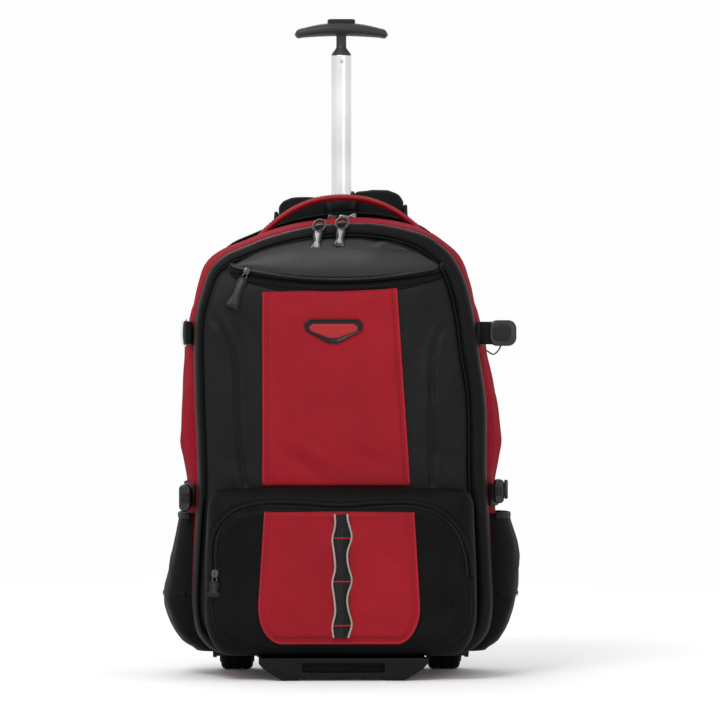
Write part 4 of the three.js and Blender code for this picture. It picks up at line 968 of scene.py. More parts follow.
def make_studio():
    bpy.context.scene.view_settings.view_transform = "Standard"
    world = bpy.data.worlds.new("studio")
    bpy.context.scene.world = world
    world.use_nodes = True
    world.node_tree.nodes["Background"].inputs["Color"].default_value = (BACKGROUND,) * 3 + (1,)
    world.node_tree.nodes["Background"].inputs["Strength"].default_value = 1.0
    add_light("key", (-1.1, -2.1, 2.5), (0, 0, 0.35), (1.2, 1.0), 50)
    add_light("fill", (1.4, -2.9, 1.2), (0, 0, 0.3), (1.8, 1.8), 8)
    add_light("back", (-0.4, 2.4, 2.2), (0, 0, 0.4), (1.6, 1.2), 14)
    mesh = bpy.data.meshes.new("floor")
    made = bmesh.new()
    bmesh.ops.create_circle(made, cap_ends=True, segments=96, radius=60.0)
    made.to_mesh(mesh)
    made.free()
    floor = add_object("floor", mesh, floor_material())
    floor.location.z = -0.0002


def floor_material():
    """Pale floor that passes into the background with distance."""
    made, start, shader, place = material("pale floor")
    x, y, _ = split(start, place)
    away = (x * x + y * y).power(0.5).between(0.9, 3.2)
    speckle = noise(start, place, 3.0, 2.0)
    finish_shader(start, shader, speckle.tint((0.80, 0.80, 0.80), (0.84, 0.84, 0.84)), 0.85,
                  Specular_IOR_Level=0.1)
    tree = start.tree
    glow = start.node("ShaderNodeEmission", Color=(BACKGROUND,) * 3 + (1,), Strength=1.0)
    mixed = tree.nodes.new("ShaderNodeMixShader")
    tree.links.new(away.socket, mixed.inputs[0])
    tree.links.new(shader.outputs[0], mixed.inputs[1])
    tree.links.new(glow.outputs[0], mixed.inputs[2])
    tree.links.new(mixed.outputs[0], tree.nodes["Material Output"].inputs["Surface"])
    return made


make_camera()
make_studio()


# Red main compartment
# Folds of the gusset: start and end as y and z, half width and rise
SIDE_FOLDS = [
    (-38, 470, 40, 430, 9, 1.6), (-40, 420, 30, 396, 7, -1.8), (-42, 372, 45, 350, 8, 1.5),
    (-40, 330, 20, 300, 10, -1.6), (-36, 262, 50, 240, 9, 1.8), (-40, 222, 10, 205, 7, -2.0),
]


def gusset_rings(grow):
    shares = np.linspace(0, 1, 34)
    rings = []
    for share in shares:
        swell = column(MAIN_SWELL, 1, share) * 0.85 + 0.15 * math.sin(math.pi * share)
        ring = ring_at(BODY, BODY_FRONT + share * BODY_DEPTH, grow, swell)
        edge = math.sin(math.pi * share)
        wobble = folds(SIDE_FOLDS, ring[:, 1], ring[:, 2]) + ripples(ring[:, 1] * 1.3,
                                                                     ring[:, 2] + ring[:, 0], 1.0)
        push_out(ring, BODY, wobble * 0.9 * edge)
        rings.append(ring)
    return rings


def make_main_body():
    """The gusset as a closed shell, with its back wall and an inner wall round the mouth."""
    outer = gusset_rings(0.0)
    mouth = ring_at(BODY, BODY_FRONT, -CLOTH, 0.0)
    inner_back = ring_at(BODY, BODY_BACK - CLOTH, -CLOTH, 0.45)
    rings = [inner_back, ring_at(BODY, BODY_FRONT + BODY_DEPTH * 0.4, -CLOTH - 1.0, 0.9), mouth, *outer]
    body = shell("main_gusset", rings, RED_GUSSET)
    settle(body, ["main_body"])
    for share, rim in ((0.045, "front"), (0.955, "back")):
        ring = ring_at(BODY, BODY_FRONT + share * BODY_DEPTH, 0.5, column(MAIN_SWELL, 1, share))
        seam = set_along(f"gusset_stitches_{rim}", ring, out_of(BODY), "bead", (2.6, 0.7, 0.7), 4.2,
                         DARK_THREAD, looped=True)
        settle(seam)


def make_zip_rings():
    """The two zips that run round the bag: tape and coil."""
    normals = out_of(BODY)
    for name, y, grow in (("main_zip", BODY_FRONT - ZIP_TAPE / 2, -2.5),
                          ("rear_zip", BODY_BACK + ZIP_TAPE / 2, -1.5)):
        ring = ring_at(BODY, y, grow)
        tape = sweep(f"{name}_tape", ring, normals, flat_section(ZIP_TAPE - 0.8, 1.8), ZIP_CLOTH, looped=True)
        coil = set_along(f"{name}_coil", ring + normals * 1.5, normals, "bar", (1.0, 4.0, 1.3), 1.9, ZIP_COIL,
                         looped=True, uneven=0.0)
        settle(joined(f"{name}_closed", [tape, coil]), [name])


# Black rear compartment
def make_rear():
    stations = [(0.0, 0.0, 0.3), (0.10, 0.2, 0.3), (0.35, 0.4, 0.27), (0.62, 0.0, 0.21), (0.80, -1.3, 0.15),
                (0.92, -3.6, 0.08), (0.975, -6.5, 0.03), (1.0, -10.5, 0.0)]
    rings = [ring_at(REAR, REAR_FRONT + CLOTH, -CLOTH, 0.3)]
    rings[0][:, 1] = REAR_FRONT + CLOTH
    for share, grow, swell in stations:
        ring = ring_at(REAR, REAR_FRONT + REAR_DEPTH * share, grow, swell)
        push = ripples(ring[:, 1] * 2,
                       ring[:, 2] + ring[:, 0] * 0.7) * 0.8 * math.sin(math.pi * min(share, 0.9))
        push_out(ring, REAR, push)
        rings.append(ring)
    middle_x = POLE_X - 1
    base = rings[-1]
    for share in (0.97, 0.9, 0.75, 0.55, 0.35, 0.15, 0.0):
        z_pull = np.clip(base[:, 2], BODY_BOTTOM + 90, REAR_TOP - 110)
        target = np.stack([np.full(len(base), middle_x), np.full(len(base), REAR_BACK), z_pull], axis=1)
        ring = target + (base - target) * share
        ring[:, 1] = REAR_BACK - 0.4 * np.abs(ripples(ring[:, 0], ring[:, 2], 1.4))
        rings.append(ring)
    back = shell("rear_tray", rings, BLACK_NYLON, caps=(False, False))
    settle(back, ["rear_compartment"])
    normals = out_of(REAR, math.sqrt(0.5))
    ring = ring_at(REAR, REAR_FRONT + REAR_DEPTH * 0.9, -1.6, 0.08)
    piping = sweep("rear_piping", ring, normals, round_section(4.2, 4.2, 10, 1.0, 1.0), BLACK_BAND,
                   looped=True)
    settle(piping)


# Black front compartment
# Folds of the front face: start x, z, end x, z, half width and rise in millimetres
FRONT_FOLDS = [
    (-104, 470, -60, 482, 5, 1.6), (28, 470, 62, 476, 3.5, -2.0), (36, 464, 58, 470, 3, 1.6),
    (40, 458, 82, 462, 6, -1.8), (-120, 402, -92, 352, 10, -3.4), (-128, 330, -96, 250, 12, 2.6),
    (-130, 240, -92, 226, 8, -2.6), (100, 402, 80, 330, 12, -3.0), (120, 350, 104, 260, 10, 2.6),
    (78, 250, 132, 226, 10, -2.8), (-118, 300, -100, 280, 12, -2.0), (84, 300, 100, 286, 10, 1.8),
]
LEFT_SEAM = curve_through([(-137, 386), (-125, 368), (-116, 341), (-113, 298), (-112, 266), (-109, 234),
                           (-104, 206)], False, 60)
RIGHT_SEAM = curve_through([(112, 380), (103, 368), (97, 351), (95, 320), (95, 270), (95, 206)], False, 60)
UPPER_LEFT = -85.0
UPPER_BOTTOM = LOWER_TOP + 3.0
UPPER_PANEL_TOP = ZIP_HEIGHT - 14.0
PANEL_CORNER_RISE = 4.0


def upper_right(z):
    return 71.0 + (57.0 - 71.0) * (z - UPPER_BOTTOM) / (UPPER_PANEL_TOP - UPPER_BOTTOM)


def front_relief(x, z):
    """How far the front cloth stands out from its plain form."""
    height = folds(FRONT_FOLDS, x, z)
    for path in (LEFT_SEAM, RIGHT_SEAM):
        apart, along = line_distance(path, x, z)
        height -= 3.2 * np.exp(-(apart / 2.3) ** 2)
        height += 2.0 * np.exp(-((apart - 6.5) / 4.5) ** 2) * smooth(along, 0.0, 0.1)
    above = z - zip_z(x)
    inside = smooth(ZIP_SIDE + 6 - np.abs(x - PANEL_SHIFT), 0, 10)
    height -= 4.2 * np.exp(-((above + 1.5) / 5.5) ** 2) * inside
    height += 1.6 * np.exp(-((above - 22) / 16) ** 2) * inside
    height += 1.0 * np.exp(-((above + 9.5) / 2.4) ** 2) * inside
    height -= 1.4 * np.exp(-((above + 13.5) / 2.0) ** 2) * inside
    height -= 3.4 * np.exp(-(edge_distance(SEAM, x, z) / 3.4) ** 2)
    return height + 0.75 * ripples(x, z, 0.9)


def front_y(x, z):
    return panel_y(x, z) - front_relief(x, z)


def make_front():
    """Rolled band and padded panel in one skin, with a dip at the seam between them."""
    band = [(0.16, 0.00, 0), (0.06, 0.05, 0.6), (0.0, 0.14, 1.0), (-0.04, 0.28, 1.0), (0.0, 0.42, 1.0),
            (0.08, 0.56, 0.9), (0.20, 0.67, 0.8), (0.36, 0.75, 0.6), (0.55, 0.785, 0.5), (0.74, 0.78, 0.3),
            (0.88, 0.72, 0.1), (0.97, 0.645, 0)]
    rings = [ring_at(BODY, FRONT_RIM, -18.0), ring_at(BODY, FRONT_RIM, -6.0)]
    for inset, depth, loose in band:
        ring = ring_at(BODY, lambda x, z, d=depth: FRONT_RIM - FRONT_DEPTH * d * ease(z),
                       -inset * BAND_WIDTH, 0.0, PANEL_SHIFT * inset ** 2)
        push = ripples(ring[:, 0] * 1.6, ring[:, 2] * 1.6, 0.8) * 0.45 * loose
        push_out(ring, BODY, push)
        rings.append(ring)
    split_at = len(rings)
    for inset in (0.6, 2.0, 4.0, 6.5):
        rings.append(ring_at(BODY, front_y, -BAND_WIDTH - inset, 0.0, PANEL_SHIFT))
    base = rings[-1]
    low, high = BODY_BOTTOM + 100, BODY_TOP - 130
    target = np.stack([np.full(len(base), PANEL_SHIFT), base[:, 1], np.clip(base[:, 2], low, high)], axis=1)
    for share in np.linspace(0.98, 0.0, 50):
        ring = target + (base - target) * share
        ring[:, 1] = front_y(ring[:, 0], ring[:, 2])
        rings.append(ring)
    rings = np.array(rings)
    rows, columns = rings.shape[:2]
    faces = grid_faces(rows, columns, True) + [tuple(range(columns))]
    slots = [0 if index // columns >= split_at else 1 for index in range(len(faces) - 1)] + [0]
    front = mesh_from("front_panel", rings, faces, [BLACK_NYLON, BLACK_BAND], slots=slots)
    settle(front, ["front_compartment"])
    seam = ring_at(BODY, lambda x, z: FRONT_RIM - FRONT_DEPTH * SEAM_DEPTH * ease(z), -BAND_WIDTH - 0.4, 0.0,
                   PANEL_SHIFT)
    keep = seam[:, 2] > LOWER_TOP - 20
    order = np.argsort((np.arange(len(seam)) - int(np.argmax(~keep))) % len(seam))
    seam = seam[order][keep[order]]
    cord = sweep("band_piping", seam - np.array([0, 1.2, 0]), [0.0, -1.0, 0.0],
                 round_section(2.6, 2.6, 8, 1.0, 1.0), BLACK_BAND)
    settle(cord)
    for name, path, side in (("left", LEFT_SEAM, -3.2), ("right", RIGHT_SEAM, 3.2)):
        stitches_on(f"side_seam_stitches_{name}", path[3:-1] + (side, 0), front_y, 0.35, (2.6, 0.7, 0.6), 4.0,
                    GREY_THREAD)


def make_hood():
    """Padded flap above the upper zip, with a rolled edge over the zip."""
    across = np.linspace(-0.985, 0.985, 70)
    x_line = PANEL_SHIFT + ZIP_SIDE * across
    low = zip_z(x_line) + 2.2
    high = np.maximum(BODY_TOP - BAND_WIDTH - 4 - 34 * np.abs(across) ** 2.6, low + 3)
    share = np.linspace(0, 1, 26)[:, None]
    x = np.repeat(x_line[None], 26, axis=0)
    z = low + (high - low) * share
    puff = 0.7 + 6.4 * np.sin(np.pi * np.clip(0.02 + 0.62 * (1 - share), 0, 1)) ** 0.9 \
        * np.cos(across * np.pi / 2 * 0.97)[None] ** 0.5
    puff = puff + folds(FRONT_FOLDS[:4], x, z) * 0.9 + 0.5 * ripples(x, z, 0.6)
    # The hood takes the lightened black nylon, a painted highlight.
    hood = surface_patch("hood_flap", x, z, front_y, np.maximum(puff, 0.5), HIGHLIT_HOOD_NYLON, sunk=1.5)
    settle(hood, ["hood"])
    lip = np.stack([x_line, low], axis=1)
    points, normal = on_surface(front_y, lip[:, 0], lip[:, 1], 0.0)
    points = points + normal * (2.2 + 3.0 * np.cos(across * np.pi / 2 * 0.97)[:, None] ** 0.5)
    # Its rolled edge takes the lightened nylon too, a painted highlight along the lip.
    edge = sweep("hood_edge", points, normal, round_section(3.8, 3.0, 10, 0.8, 0.9), HIGHLIT_HOOD_NYLON)
    settle(edge)
    # Painted shade: a patch of dark dull cloth below the upper zip, taller in the middle than at the ends,
    # darkens the band that lies in the hood's shadow.
    reach = 4.5 + 14.0 * np.cos(across * np.pi / 2 * 0.97) ** 0.4 * np.linspace(1, 0, 10)[:, None]
    shade_patch = surface_patch("zip_facing", x[:10], zip_z(x[:10]) - reach, front_y, 1.0, LOWER_NYLON)
    settle(shade_patch)


def zip_on(name, node, path, surface, width, off):
    """A coil zip lying along a line on a surface."""
    points, normal = on_surface(surface, path[:, 0], path[:, 1], off)
    tape = sweep(f"{name}_tape", points, normal, flat_section(width, 1.2), ZIP_CLOTH)
    coil = set_along(f"{name}_coil", points + normal * 0.9, normal, "bar", (1.0, 3.4, 1.2), 1.8, ZIP_COIL,
                     uneven=0.0)
    settle(joined(f"{name}_closed", [tape, coil]), [node])


def stitches_on(name, path, surface, off, size, spacing, thread):
    points, normal = on_surface(surface, path[:, 0], path[:, 1], off)
    settle(set_along(name, points, normal, "bead", size, spacing, thread))


def beside(path, off):
    """The path moved sideways."""
    tangent = unit(np.gradient(path, axis=0))
    return path + np.stack([-tangent[:, 1], tangent[:, 0]], axis=1) * off


UPPER_ZIP = np.stack([PANEL_SHIFT + ZIP_SIDE * np.linspace(-1, 1, 90),
                      zip_z(PANEL_SHIFT + ZIP_SIDE * np.linspace(-1, 1, 90))], axis=1)
ARCH = curve_through([(LOWER_SHIFT + a * LOWER_WIDTH / 2, LOWER_BOTTOM + b * LOWER_HEIGHT)
                      for a, b in ARCH_ROWS], False, 160)


def piping_on(name, path, surface, off, size, finish):
    points, normal = on_surface(surface, path[:, 0], path[:, 1], off)
    settle(sweep(name, points, normal, round_section(size, size * 0.8, 10, 0.9, 0.9), finish))


def make_upper_panel():
    """Red centre panel with its folded edges, stitch lines and two diagonal dents."""
    rows, columns = 96, 70
    z_line = np.linspace(UPPER_BOTTOM, UPPER_PANEL_TOP, rows)[:, None]
    share = np.linspace(0, 1, columns)[None]
    z = np.repeat(z_line, columns, axis=1)
    x = UPPER_LEFT + (upper_right(z) - UPPER_LEFT) * share
    z = z + PANEL_CORNER_RISE * share ** 2 * np.linspace(0, 1, rows)[:, None] ** 8
    dents = folds([(-68, 246, -22, 214, 7, -3.2), (-60, 262, -8, 226, 6, 2.2), (6, 244, 56, 224, 8, -2.4),
                   (-76, 402, -20, 396, 9, -1.8), (-10, 400, 46, 404, 9, 1.4), (-74, 330, -60, 260, 6, 1.2),
                   (58, 350, 54, 270, 6, -1.4), (-40, 300, 30, 282, 14, -1.2)], x, z)
    edge = np.minimum(np.minimum(x - UPPER_LEFT, upper_right(z) - x), 8)
    height = 2.0 + 1.5 * smooth(edge, 0, 8) + dents * 0.8 + 0.5 * ripples(x, z, 1.1)
    height -= 1.0 * np.exp(-((edge - 4.6) / 1.1) ** 2)
    panel = surface_patch("upper_centre_panel", x, z, front_y, height, RED_NYLON)
    settle(panel, ["upper_red_panel"])
    z_side = np.linspace(UPPER_BOTTOM + 1, UPPER_PANEL_TOP - 1, 60)
    left = np.stack([np.full(60, UPPER_LEFT + 0.2), z_side], axis=1)
    z_side = np.linspace(z_side[0], z_side[-1] + PANEL_CORNER_RISE, 60)
    right = np.stack([upper_right(z_side) - 0.2, z_side], axis=1)
    piping_on("upper_piping_left", left, front_y, 1.6, 3.0, RED_PIPING)
    piping_on("upper_piping_right", right, front_y, 1.6, 3.0, RED_PIPING)
    for name, path, side in (("left", left, 4.6), ("right", right, -4.6)):
        stitches_on(f"upper_panel_stitches_{name}", path + (side, 0), front_y, 2.9, (2.4, 0.7, 0.6), 3.8,
                    DARK_THREAD)


# Lower pocket
LOWER_FOLDS = [
    (108, 100, 114, 62, 7, -3.6), (122, 120, 118, 60, 6, 2.6), (-118, 150, -100, 96, 9, -2.6),
    (-126, 92, -112, 52, 8, 2.6), (-96, 60, -70, 40, 8, -2.0), (80, 48, 112, 56, 8, 2.0),
    (-120, 184, -60, 180, 5, -1.2), (30, 180, 100, 176, 5, -1.3), (86, 160, 116, 120, 8, -2.0),
    (98, 150, 96, 70, 9, 1.6), (-104, 120, -106, 60, 9, -1.6),
]
# Seams that run on from the arch's ends round the pocket's lower corners
TAILS = [curve_through([(side * x - 2, z) for x, z in ((135, 110), (137, 78), (131, 52), (112, 39))], False,
                       30) for side in (-1, 1)]
LOWER_CORNER = 27.0
LOWER_CORNER_RISE = 41.0
PANEL_MIDDLE = -4.5
PANEL_HALF = 87.0
PANEL_FLARE = 8.5
PANEL_BOTTOM = LOWER_BOTTOM + 15.0
PANEL_TOP = LOWER_TOP - 24.0


def lower_relief(x, z):
    height = folds(LOWER_FOLDS, x, z)
    apart, _ = line_distance(ARCH, x, z)
    height -= 2.6 * np.exp(-(apart / 3.6) ** 2)
    height += 1.2 * np.exp(-((apart - 8) / 4) ** 2)
    for tail in TAILS:
        apart, _ = line_distance(tail, x, z)
        height -= 2.0 * np.exp(-(apart / 2.0) ** 2)
    return height + 0.5 * ripples(x * 1.1, z, 0.8)


def lower_face_y(x, z):
    return lower_y(x, z) - lower_relief(x, z)


def make_lower_pocket():
    back = FRONT_RIM - FRONT_DEPTH * 0.6
    rings = []
    for share in np.linspace(0, 1, 16):
        y = back + (LOWER_RIM - back) * share
        ring = ring_at(LOWER, y, 0.0)
        push = ripples(ring[:, 0] + ring[:, 1], ring[:, 2] + ring[:, 1], 0.8) * 0.6
        push -= 1.8 * math.exp(-((share - 0.55) / 0.12) ** 2) * (ring[:, 2] > LOWER_TOP - 8)
        push_out(ring, LOWER, push)
        rings.append(ring)
    for inset in (0.4, 1.2, 2.4, 4.0, 6.0):
        rings.append(ring_at(LOWER, lower_face_y, -inset))
    base = rings[-1]
    target = np.stack([np.clip(base[:, 0], LOWER_SHIFT - 60, LOWER_SHIFT + 60), base[:, 1],
                       np.full(len(base), LOWER_BOTTOM + LOWER_HEIGHT / 2)], axis=1)
    for share in np.linspace(0.97, 0.0, 36):
        ring = target + (base - target) * share
        ring[:, 1] = lower_face_y(ring[:, 0], ring[:, 2])
        rings.append(ring)
    pocket = shell("lower_pocket_shell", rings, LOWER_NYLON, caps=(False, False))
    settle(pocket, ["lower_pocket"])
    zip_on("lower_zip", "lower_zip", ARCH, lower_face_y, 6.0, 0.4)
    for side, tail in zip(("left", "right"), TAILS):
        piping_on(f"pocket_piping_{side}", tail, lower_face_y, 0.4, 2.6, BLACK_BAND)
    for name, grow in (("outer", 5.0), ("inner", -5.0)):
        stitches_on(f"arch_stitches_{name}", beside(ARCH, grow), lower_face_y, 0.4, (2.4, 0.6, 0.6), 3.8,
                    GREY_THREAD)
    piping_on("arch_lip", beside(ARCH, 3.6), lower_face_y, 2.0, 4.6, BLACK_BAND)


def lower_half(z):
    along = np.clip((z - PANEL_BOTTOM) / LOWER_CORNER_RISE, 0, 1)
    flare = PANEL_FLARE * (z - PANEL_BOTTOM) / (PANEL_TOP - PANEL_BOTTOM)
    return PANEL_HALF - flare - LOWER_CORNER * (1 - np.sqrt(1 - (1 - along) ** 2))


def make_lower_panel():
    rows, columns = 80, 80
    share_z = np.linspace(0, 1, rows)[:, None]
    z_line = PANEL_BOTTOM + (PANEL_TOP - PANEL_BOTTOM) * share_z ** 1.25
    z = np.repeat(z_line, columns, axis=1)
    x = PANEL_MIDDLE + lower_half(z) * np.linspace(-1, 1, columns)[None]
    edge = np.minimum(np.minimum(lower_half(z) - np.abs(x - PANEL_MIDDLE), z - PANEL_BOTTOM), 9)
    dents = folds([(-70, 160, -44, 120, 7, -2.0), (-66, 96, -40, 66, 7, 1.7), (30, 150, 58, 118, 8, -1.8),
                   (20, 80, 60, 60, 8, 1.5), (-20, 150, -16, 60, 6, -0.9), (14, 150, 18, 70, 6, -0.8)], x, z)
    height = 2.0 + 1.5 * smooth(edge, 0, 9) + dents * 0.8 + 0.45 * ripples(x, z, 1.0)
    height -= 0.9 * np.exp(-((edge - 5.2) / 1.1) ** 2)
    panel = surface_patch("lower_centre_panel", x, z, lower_face_y, height, RED_NYLON)
    settle(panel, ["lower_red_panel"])

    def rim(inset):
        side = PANEL_BOTTOM + inset + (PANEL_TOP - PANEL_BOTTOM - inset) * np.linspace(1, 0, 70) ** 1.4
        right = np.stack([PANEL_MIDDLE + lower_half(side) - inset, side], axis=1)
        bottom = np.linspace(right[-1, 0], 2 * PANEL_MIDDLE - right[-1, 0], 40)[1:-1]
        left = np.stack([2 * PANEL_MIDDLE - right[::-1, 0], side[::-1]], axis=1)
        return np.vstack([right, np.stack([bottom, np.full(38, side[-1])], axis=1), left])

    piping_on("lower_piping", rim(0.3), lower_face_y, 1.7, 3.2, RED_PIPING)
    stitches_on("lower_panel_stitches", rim(5.2), lower_face_y, 2.6, (2.4, 0.7, 0.6), 3.8, DARK_THREAD)


LOOP_X = -2.0
LOOP_BOTTOM = PANEL_BOTTOM + 6.0
LOOP_TOP = PANEL_TOP - 3.0
LOOP_FIRST = LOOP_BOTTOM + 12.0
LOOP_SPACING = 46.5
LOOP_WIDTH = 22.0
LOOP_WAVE = 7.0


def make_loop_strap():
    """Wavy strap sewn down between its loops, with pale edges and red bar tacks."""
    count = 150
    along = np.linspace(0, 1, count)
    z = LOOP_BOTTOM + (LOOP_TOP - LOOP_BOTTOM) * along
    turns = (z - LOOP_FIRST) / LOOP_SPACING
    loop = np.sin(np.pi * (turns + 0.05 * np.sin(2 * np.pi * turns))) ** 2
    half = (LOOP_WIDTH - LOOP_WAVE * loop) / 2
    lift = 3.2 + 3.0 * loop
    sway = 0.9 * np.sin(2 * np.pi * turns + 0.6)
    points, normal = on_surface(lower_face_y, LOOP_X + sway, z, 0.0)
    points = points + normal * lift[:, None]
    base = np.array(flat_section(2.0, 1.6, 0.2))
    section = np.repeat(base[None], count, axis=0)
    section[..., 0] *= (half - 1.6)[:, None]
    strap = sweep("loop_webbing", points, normal, section, WEBBING)
    parts = [strap]
    for sign in (-1, 1):
        edge = points + np.stack([sign * (half - 0.9), np.zeros(count), np.zeros(count)], axis=1)
        parts.append(sweep(f"loop_edge_{sign}", edge, normal, flat_section(2.2, 1.9, 0.2), PALE_EDGE))
    for number in range(3):
        index = int(np.argmin(np.abs(turns - number)))
        centre = points[index] + normal[index] * 1.1
        line = centre + np.outer(np.linspace(-8.6, 8.6, 20), [1.0, 0.0, 0.0])
        parts.append(set_along(f"bar_tack_{number}", line, normal[index], "bead", (0.9, 2.2, 0.9), 0.9,
                               RED_THREAD))
    settle(joined("loop_strap_sewn", parts), ["loop_strap"])


def make_badge():
    """Plain black shield badge with a raised rim round a red field."""
    low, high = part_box("badge")
    x0, x1 = (low[0] - SHIFT[0]) / MM, (high[0] - SHIFT[0]) / MM
    z0, z1 = low[2] / MM, high[2] / MM
    mid_x, mid_z, half, tall = (x0 + x1) / 2, (z0 + z1) / 2, (x1 - x0) / 2, (z1 - z0) / 2
    shield = [(-0.95, 0.02), (-0.16, -1), (0.16, -1), (0.95, 0.02), (1, 0.6), (0.84, 1), (-0.84, 1),
              (-1, 0.6)]

    def shape(share):
        points = np.array([(mid_x + a * (half - (1 - share) * tall), mid_z + b * tall * share)
                           for a, b in shield])
        closed = np.vstack([points, points[:1]])
        lengths = np.concatenate([[0], np.cumsum(np.linalg.norm(np.diff(closed, axis=0), axis=1))])
        wanted = np.linspace(0, lengths[-1], 97)[:-1]
        return np.stack([np.interp(wanted, lengths, closed[:, a]) for a in (0, 1)], axis=1)

    def ring(share, off):
        flat = shape(share)
        depth = front_y(flat[:, 0], flat[:, 1])
        return np.stack([flat[:, 0], (depth + np.median(depth)) / 2 - off, flat[:, 1]], axis=1)

    rings = [ring(1.0, 2.0), ring(1.0, 4.6), ring(0.97, 5.4), ring(0.90, 5.5), ring(0.86, 5.1),
             ring(0.84, 4.5)]
    for share in (0.6, 0.35, 0.1):
        rings.append(ring(share, 4.4 + 0.3 * (1 - share)))
    plate = shell("badge_plate", rings, BADGE_RUBBER)
    field = shell("badge_field",
                  [ring(0.58, 4.2), ring(0.58, 4.9), ring(0.55, 5.2), ring(0.3, 5.2), ring(0.1, 5.2)],
                  BADGE_FIELD)
    settle(joined("badge_moulded", [plate, field]), ["badge"])


# Sides
def pocket_ring(column_index, sign, row, wall=0.0, count=72):
    height, _, _, length_share = row
    reach = OVERALL_WIDTH / 2 * row[column_index] - wall
    length = POCKET_LENGTH * length_share / 2 - wall
    z = POCKET_BOTTOM + height * POCKET_HEIGHT
    angles = np.linspace(-np.pi / 2, np.pi / 2, count)
    y = POCKET_MIDDLE + length * np.sin(angles)
    seat = np.abs(side_x(sign, y, z)) + 0.4
    x = seat + (np.maximum(reach, seat + 1.0) - seat) * np.cos(angles) ** 0.55
    return np.stack([sign * x, y, np.full(count, z)], axis=1)


def pocket_row(height):
    near = np.clip(height + np.array([-0.06, -0.03, 0.0, 0.03, 0.06]), 0, 1)
    tuck = 1 - 0.05 * (1 - smooth(height, 0.0, 0.07))
    return (height, *(float(np.mean(column(POCKET_ROWS, index, near))) * tuck for index in (1, 2, 3)))


def make_side_pocket(side, sign, index):
    """Gathered pocket: cloth below, mesh above, an elastic hem at its mouth, open at the top."""
    heights = np.linspace(0.0, 1.0, 44)
    count = 72
    rings = []
    for height in heights:
        ring = pocket_ring(index, sign, pocket_row(height), 0.0, count)
        inside = np.sin(np.linspace(0, np.pi, count)) ** 0.6
        gather = 0.9 * np.sin(ring[:, 1] * 0.42 + 4 * math.sin(height * 3)) * smooth(height, 0.45, 1.0)
        slump = folds([(-34, 60, 20, 92, 7, -2.4), (-10, 120, 44, 96, 8, -2.0), (-40, 108, 0, 132, 6, 1.6),
                       (10, 48, 50, 64, 7, 1.8)], ring[:, 1], ring[:, 2])
        push = (slump * 0.9 + ripples(ring[:, 1] * 1.4, ring[:, 2] * 1.2, 0.8) * 0.9 + gather * 0.8) * inside
        ring[:, 0] += sign * push
        rings.append(ring)
    outer = np.array(rings)
    thick = 1.8
    inner = outer.copy()
    inner[..., 0] -= sign * thick
    inner = inner[::-1]
    both = np.vstack([outer, inner])
    rows = len(both)
    last = (rows - 1) * count
    faces = grid_faces(rows, count, False)
    slots = []
    split_row = int(0.42 * len(heights))
    for row in range(rows - 1):
        mesh_here = row >= split_row if row < len(heights) else rows - 1 - row > split_row
        slots += [1 if mesh_here else 0] * (count - 1)
    for row in range(len(heights) - 1):
        across = [row, row + 1, rows - 2 - row, rows - 1 - row]
        faces += [[place * count for place in across], [place * count + count - 1 for place in across]]
    faces += [range(count), range(last, last + count), [0, count - 1, last + count - 1, last]]
    slots += [0] * (len(faces) - len(slots))
    pocket = mesh_from(f"side_pocket_cloth_{side}", both, faces, [LOWER_NYLON, BLACK_MESH], slots=slots)
    settle(pocket, [f"side_pocket_{side}"])
    aside = [sign * 1.0, 0.0, 0.0]
    hem = outer[-1] + np.array([0.0, 0.0, -2.5])
    settle(sweep(f"pocket_hem_{side}", hem[2:-2], aside, flat_section(7.0, 2.4, 0.5), WEBBING))
    seam = outer[split_row] + np.array([sign * 0.4, 0, 0])
    settle(sweep(f"pocket_seam_{side}", seam[1:-1], aside, flat_section(4.0, 1.4, 0.4), BLACK_BAND))
    line = seam[2:-2] + np.array([sign * 1.0, 0, -3.2])
    settle(set_along(f"pocket_stitches_{side}", line, aside, "bead", (2.4, 0.6, 0.6), 3.6, GREY_THREAD))


def make_side_strap(level, side, sign, z):
    count = 60
    y = np.linspace(BODY_FRONT + 2, BODY_BACK - 4, count)
    x = side_x(sign, y, z)
    swell = sign * (2.6 + 0.5 * np.sin(y * 0.12))
    path = np.stack([x + swell, y, np.full(count, z) + 0.8 * np.sin(y * 0.05)], axis=1)
    strap = sweep(f"{level}_webbing_{side}", path, [sign * 1.0, 0.0, 0.0],
                  flat_section(WEBBING_WIDTH, 1.7, 0.2), WEBBING)
    settle(strap, [f"{level}_strap_{side}"])


def box_of(node):
    low, high = (np.array(corner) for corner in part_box(node))
    return (low - SHIFT) / MM, (high - SHIFT) / MM


def frame_buckle(node, name):
    """Side-release buckle seen on edge: a rounded shell with a centre latch."""
    low, high = box_of(node)
    x0, x1, z0, z1 = low[0], high[0], low[2], high[2]
    depth = high[1] - low[1]
    middle = (low[1] + high[1]) / 2
    shell_piece = block(f"{name}_shell", rounded_shape(x0, x1, z0, z1, min(x1 - x0, z1 - z0) * 0.42), depth,
                        GLOSS_PLASTIC, "y", middle, 2.2, 4)
    latch = block(f"{name}_latch",
                  rounded_shape(x0 + 2.2, x1 - 2.2, z0 + (z1 - z0) * 0.3, z1 - (z1 - z0) * 0.3, 2.0),
                  depth + 1.0, BLACK_PLASTIC, "y", middle, 0.8, 3)
    settle(joined(name, [shell_piece, latch]), [node])


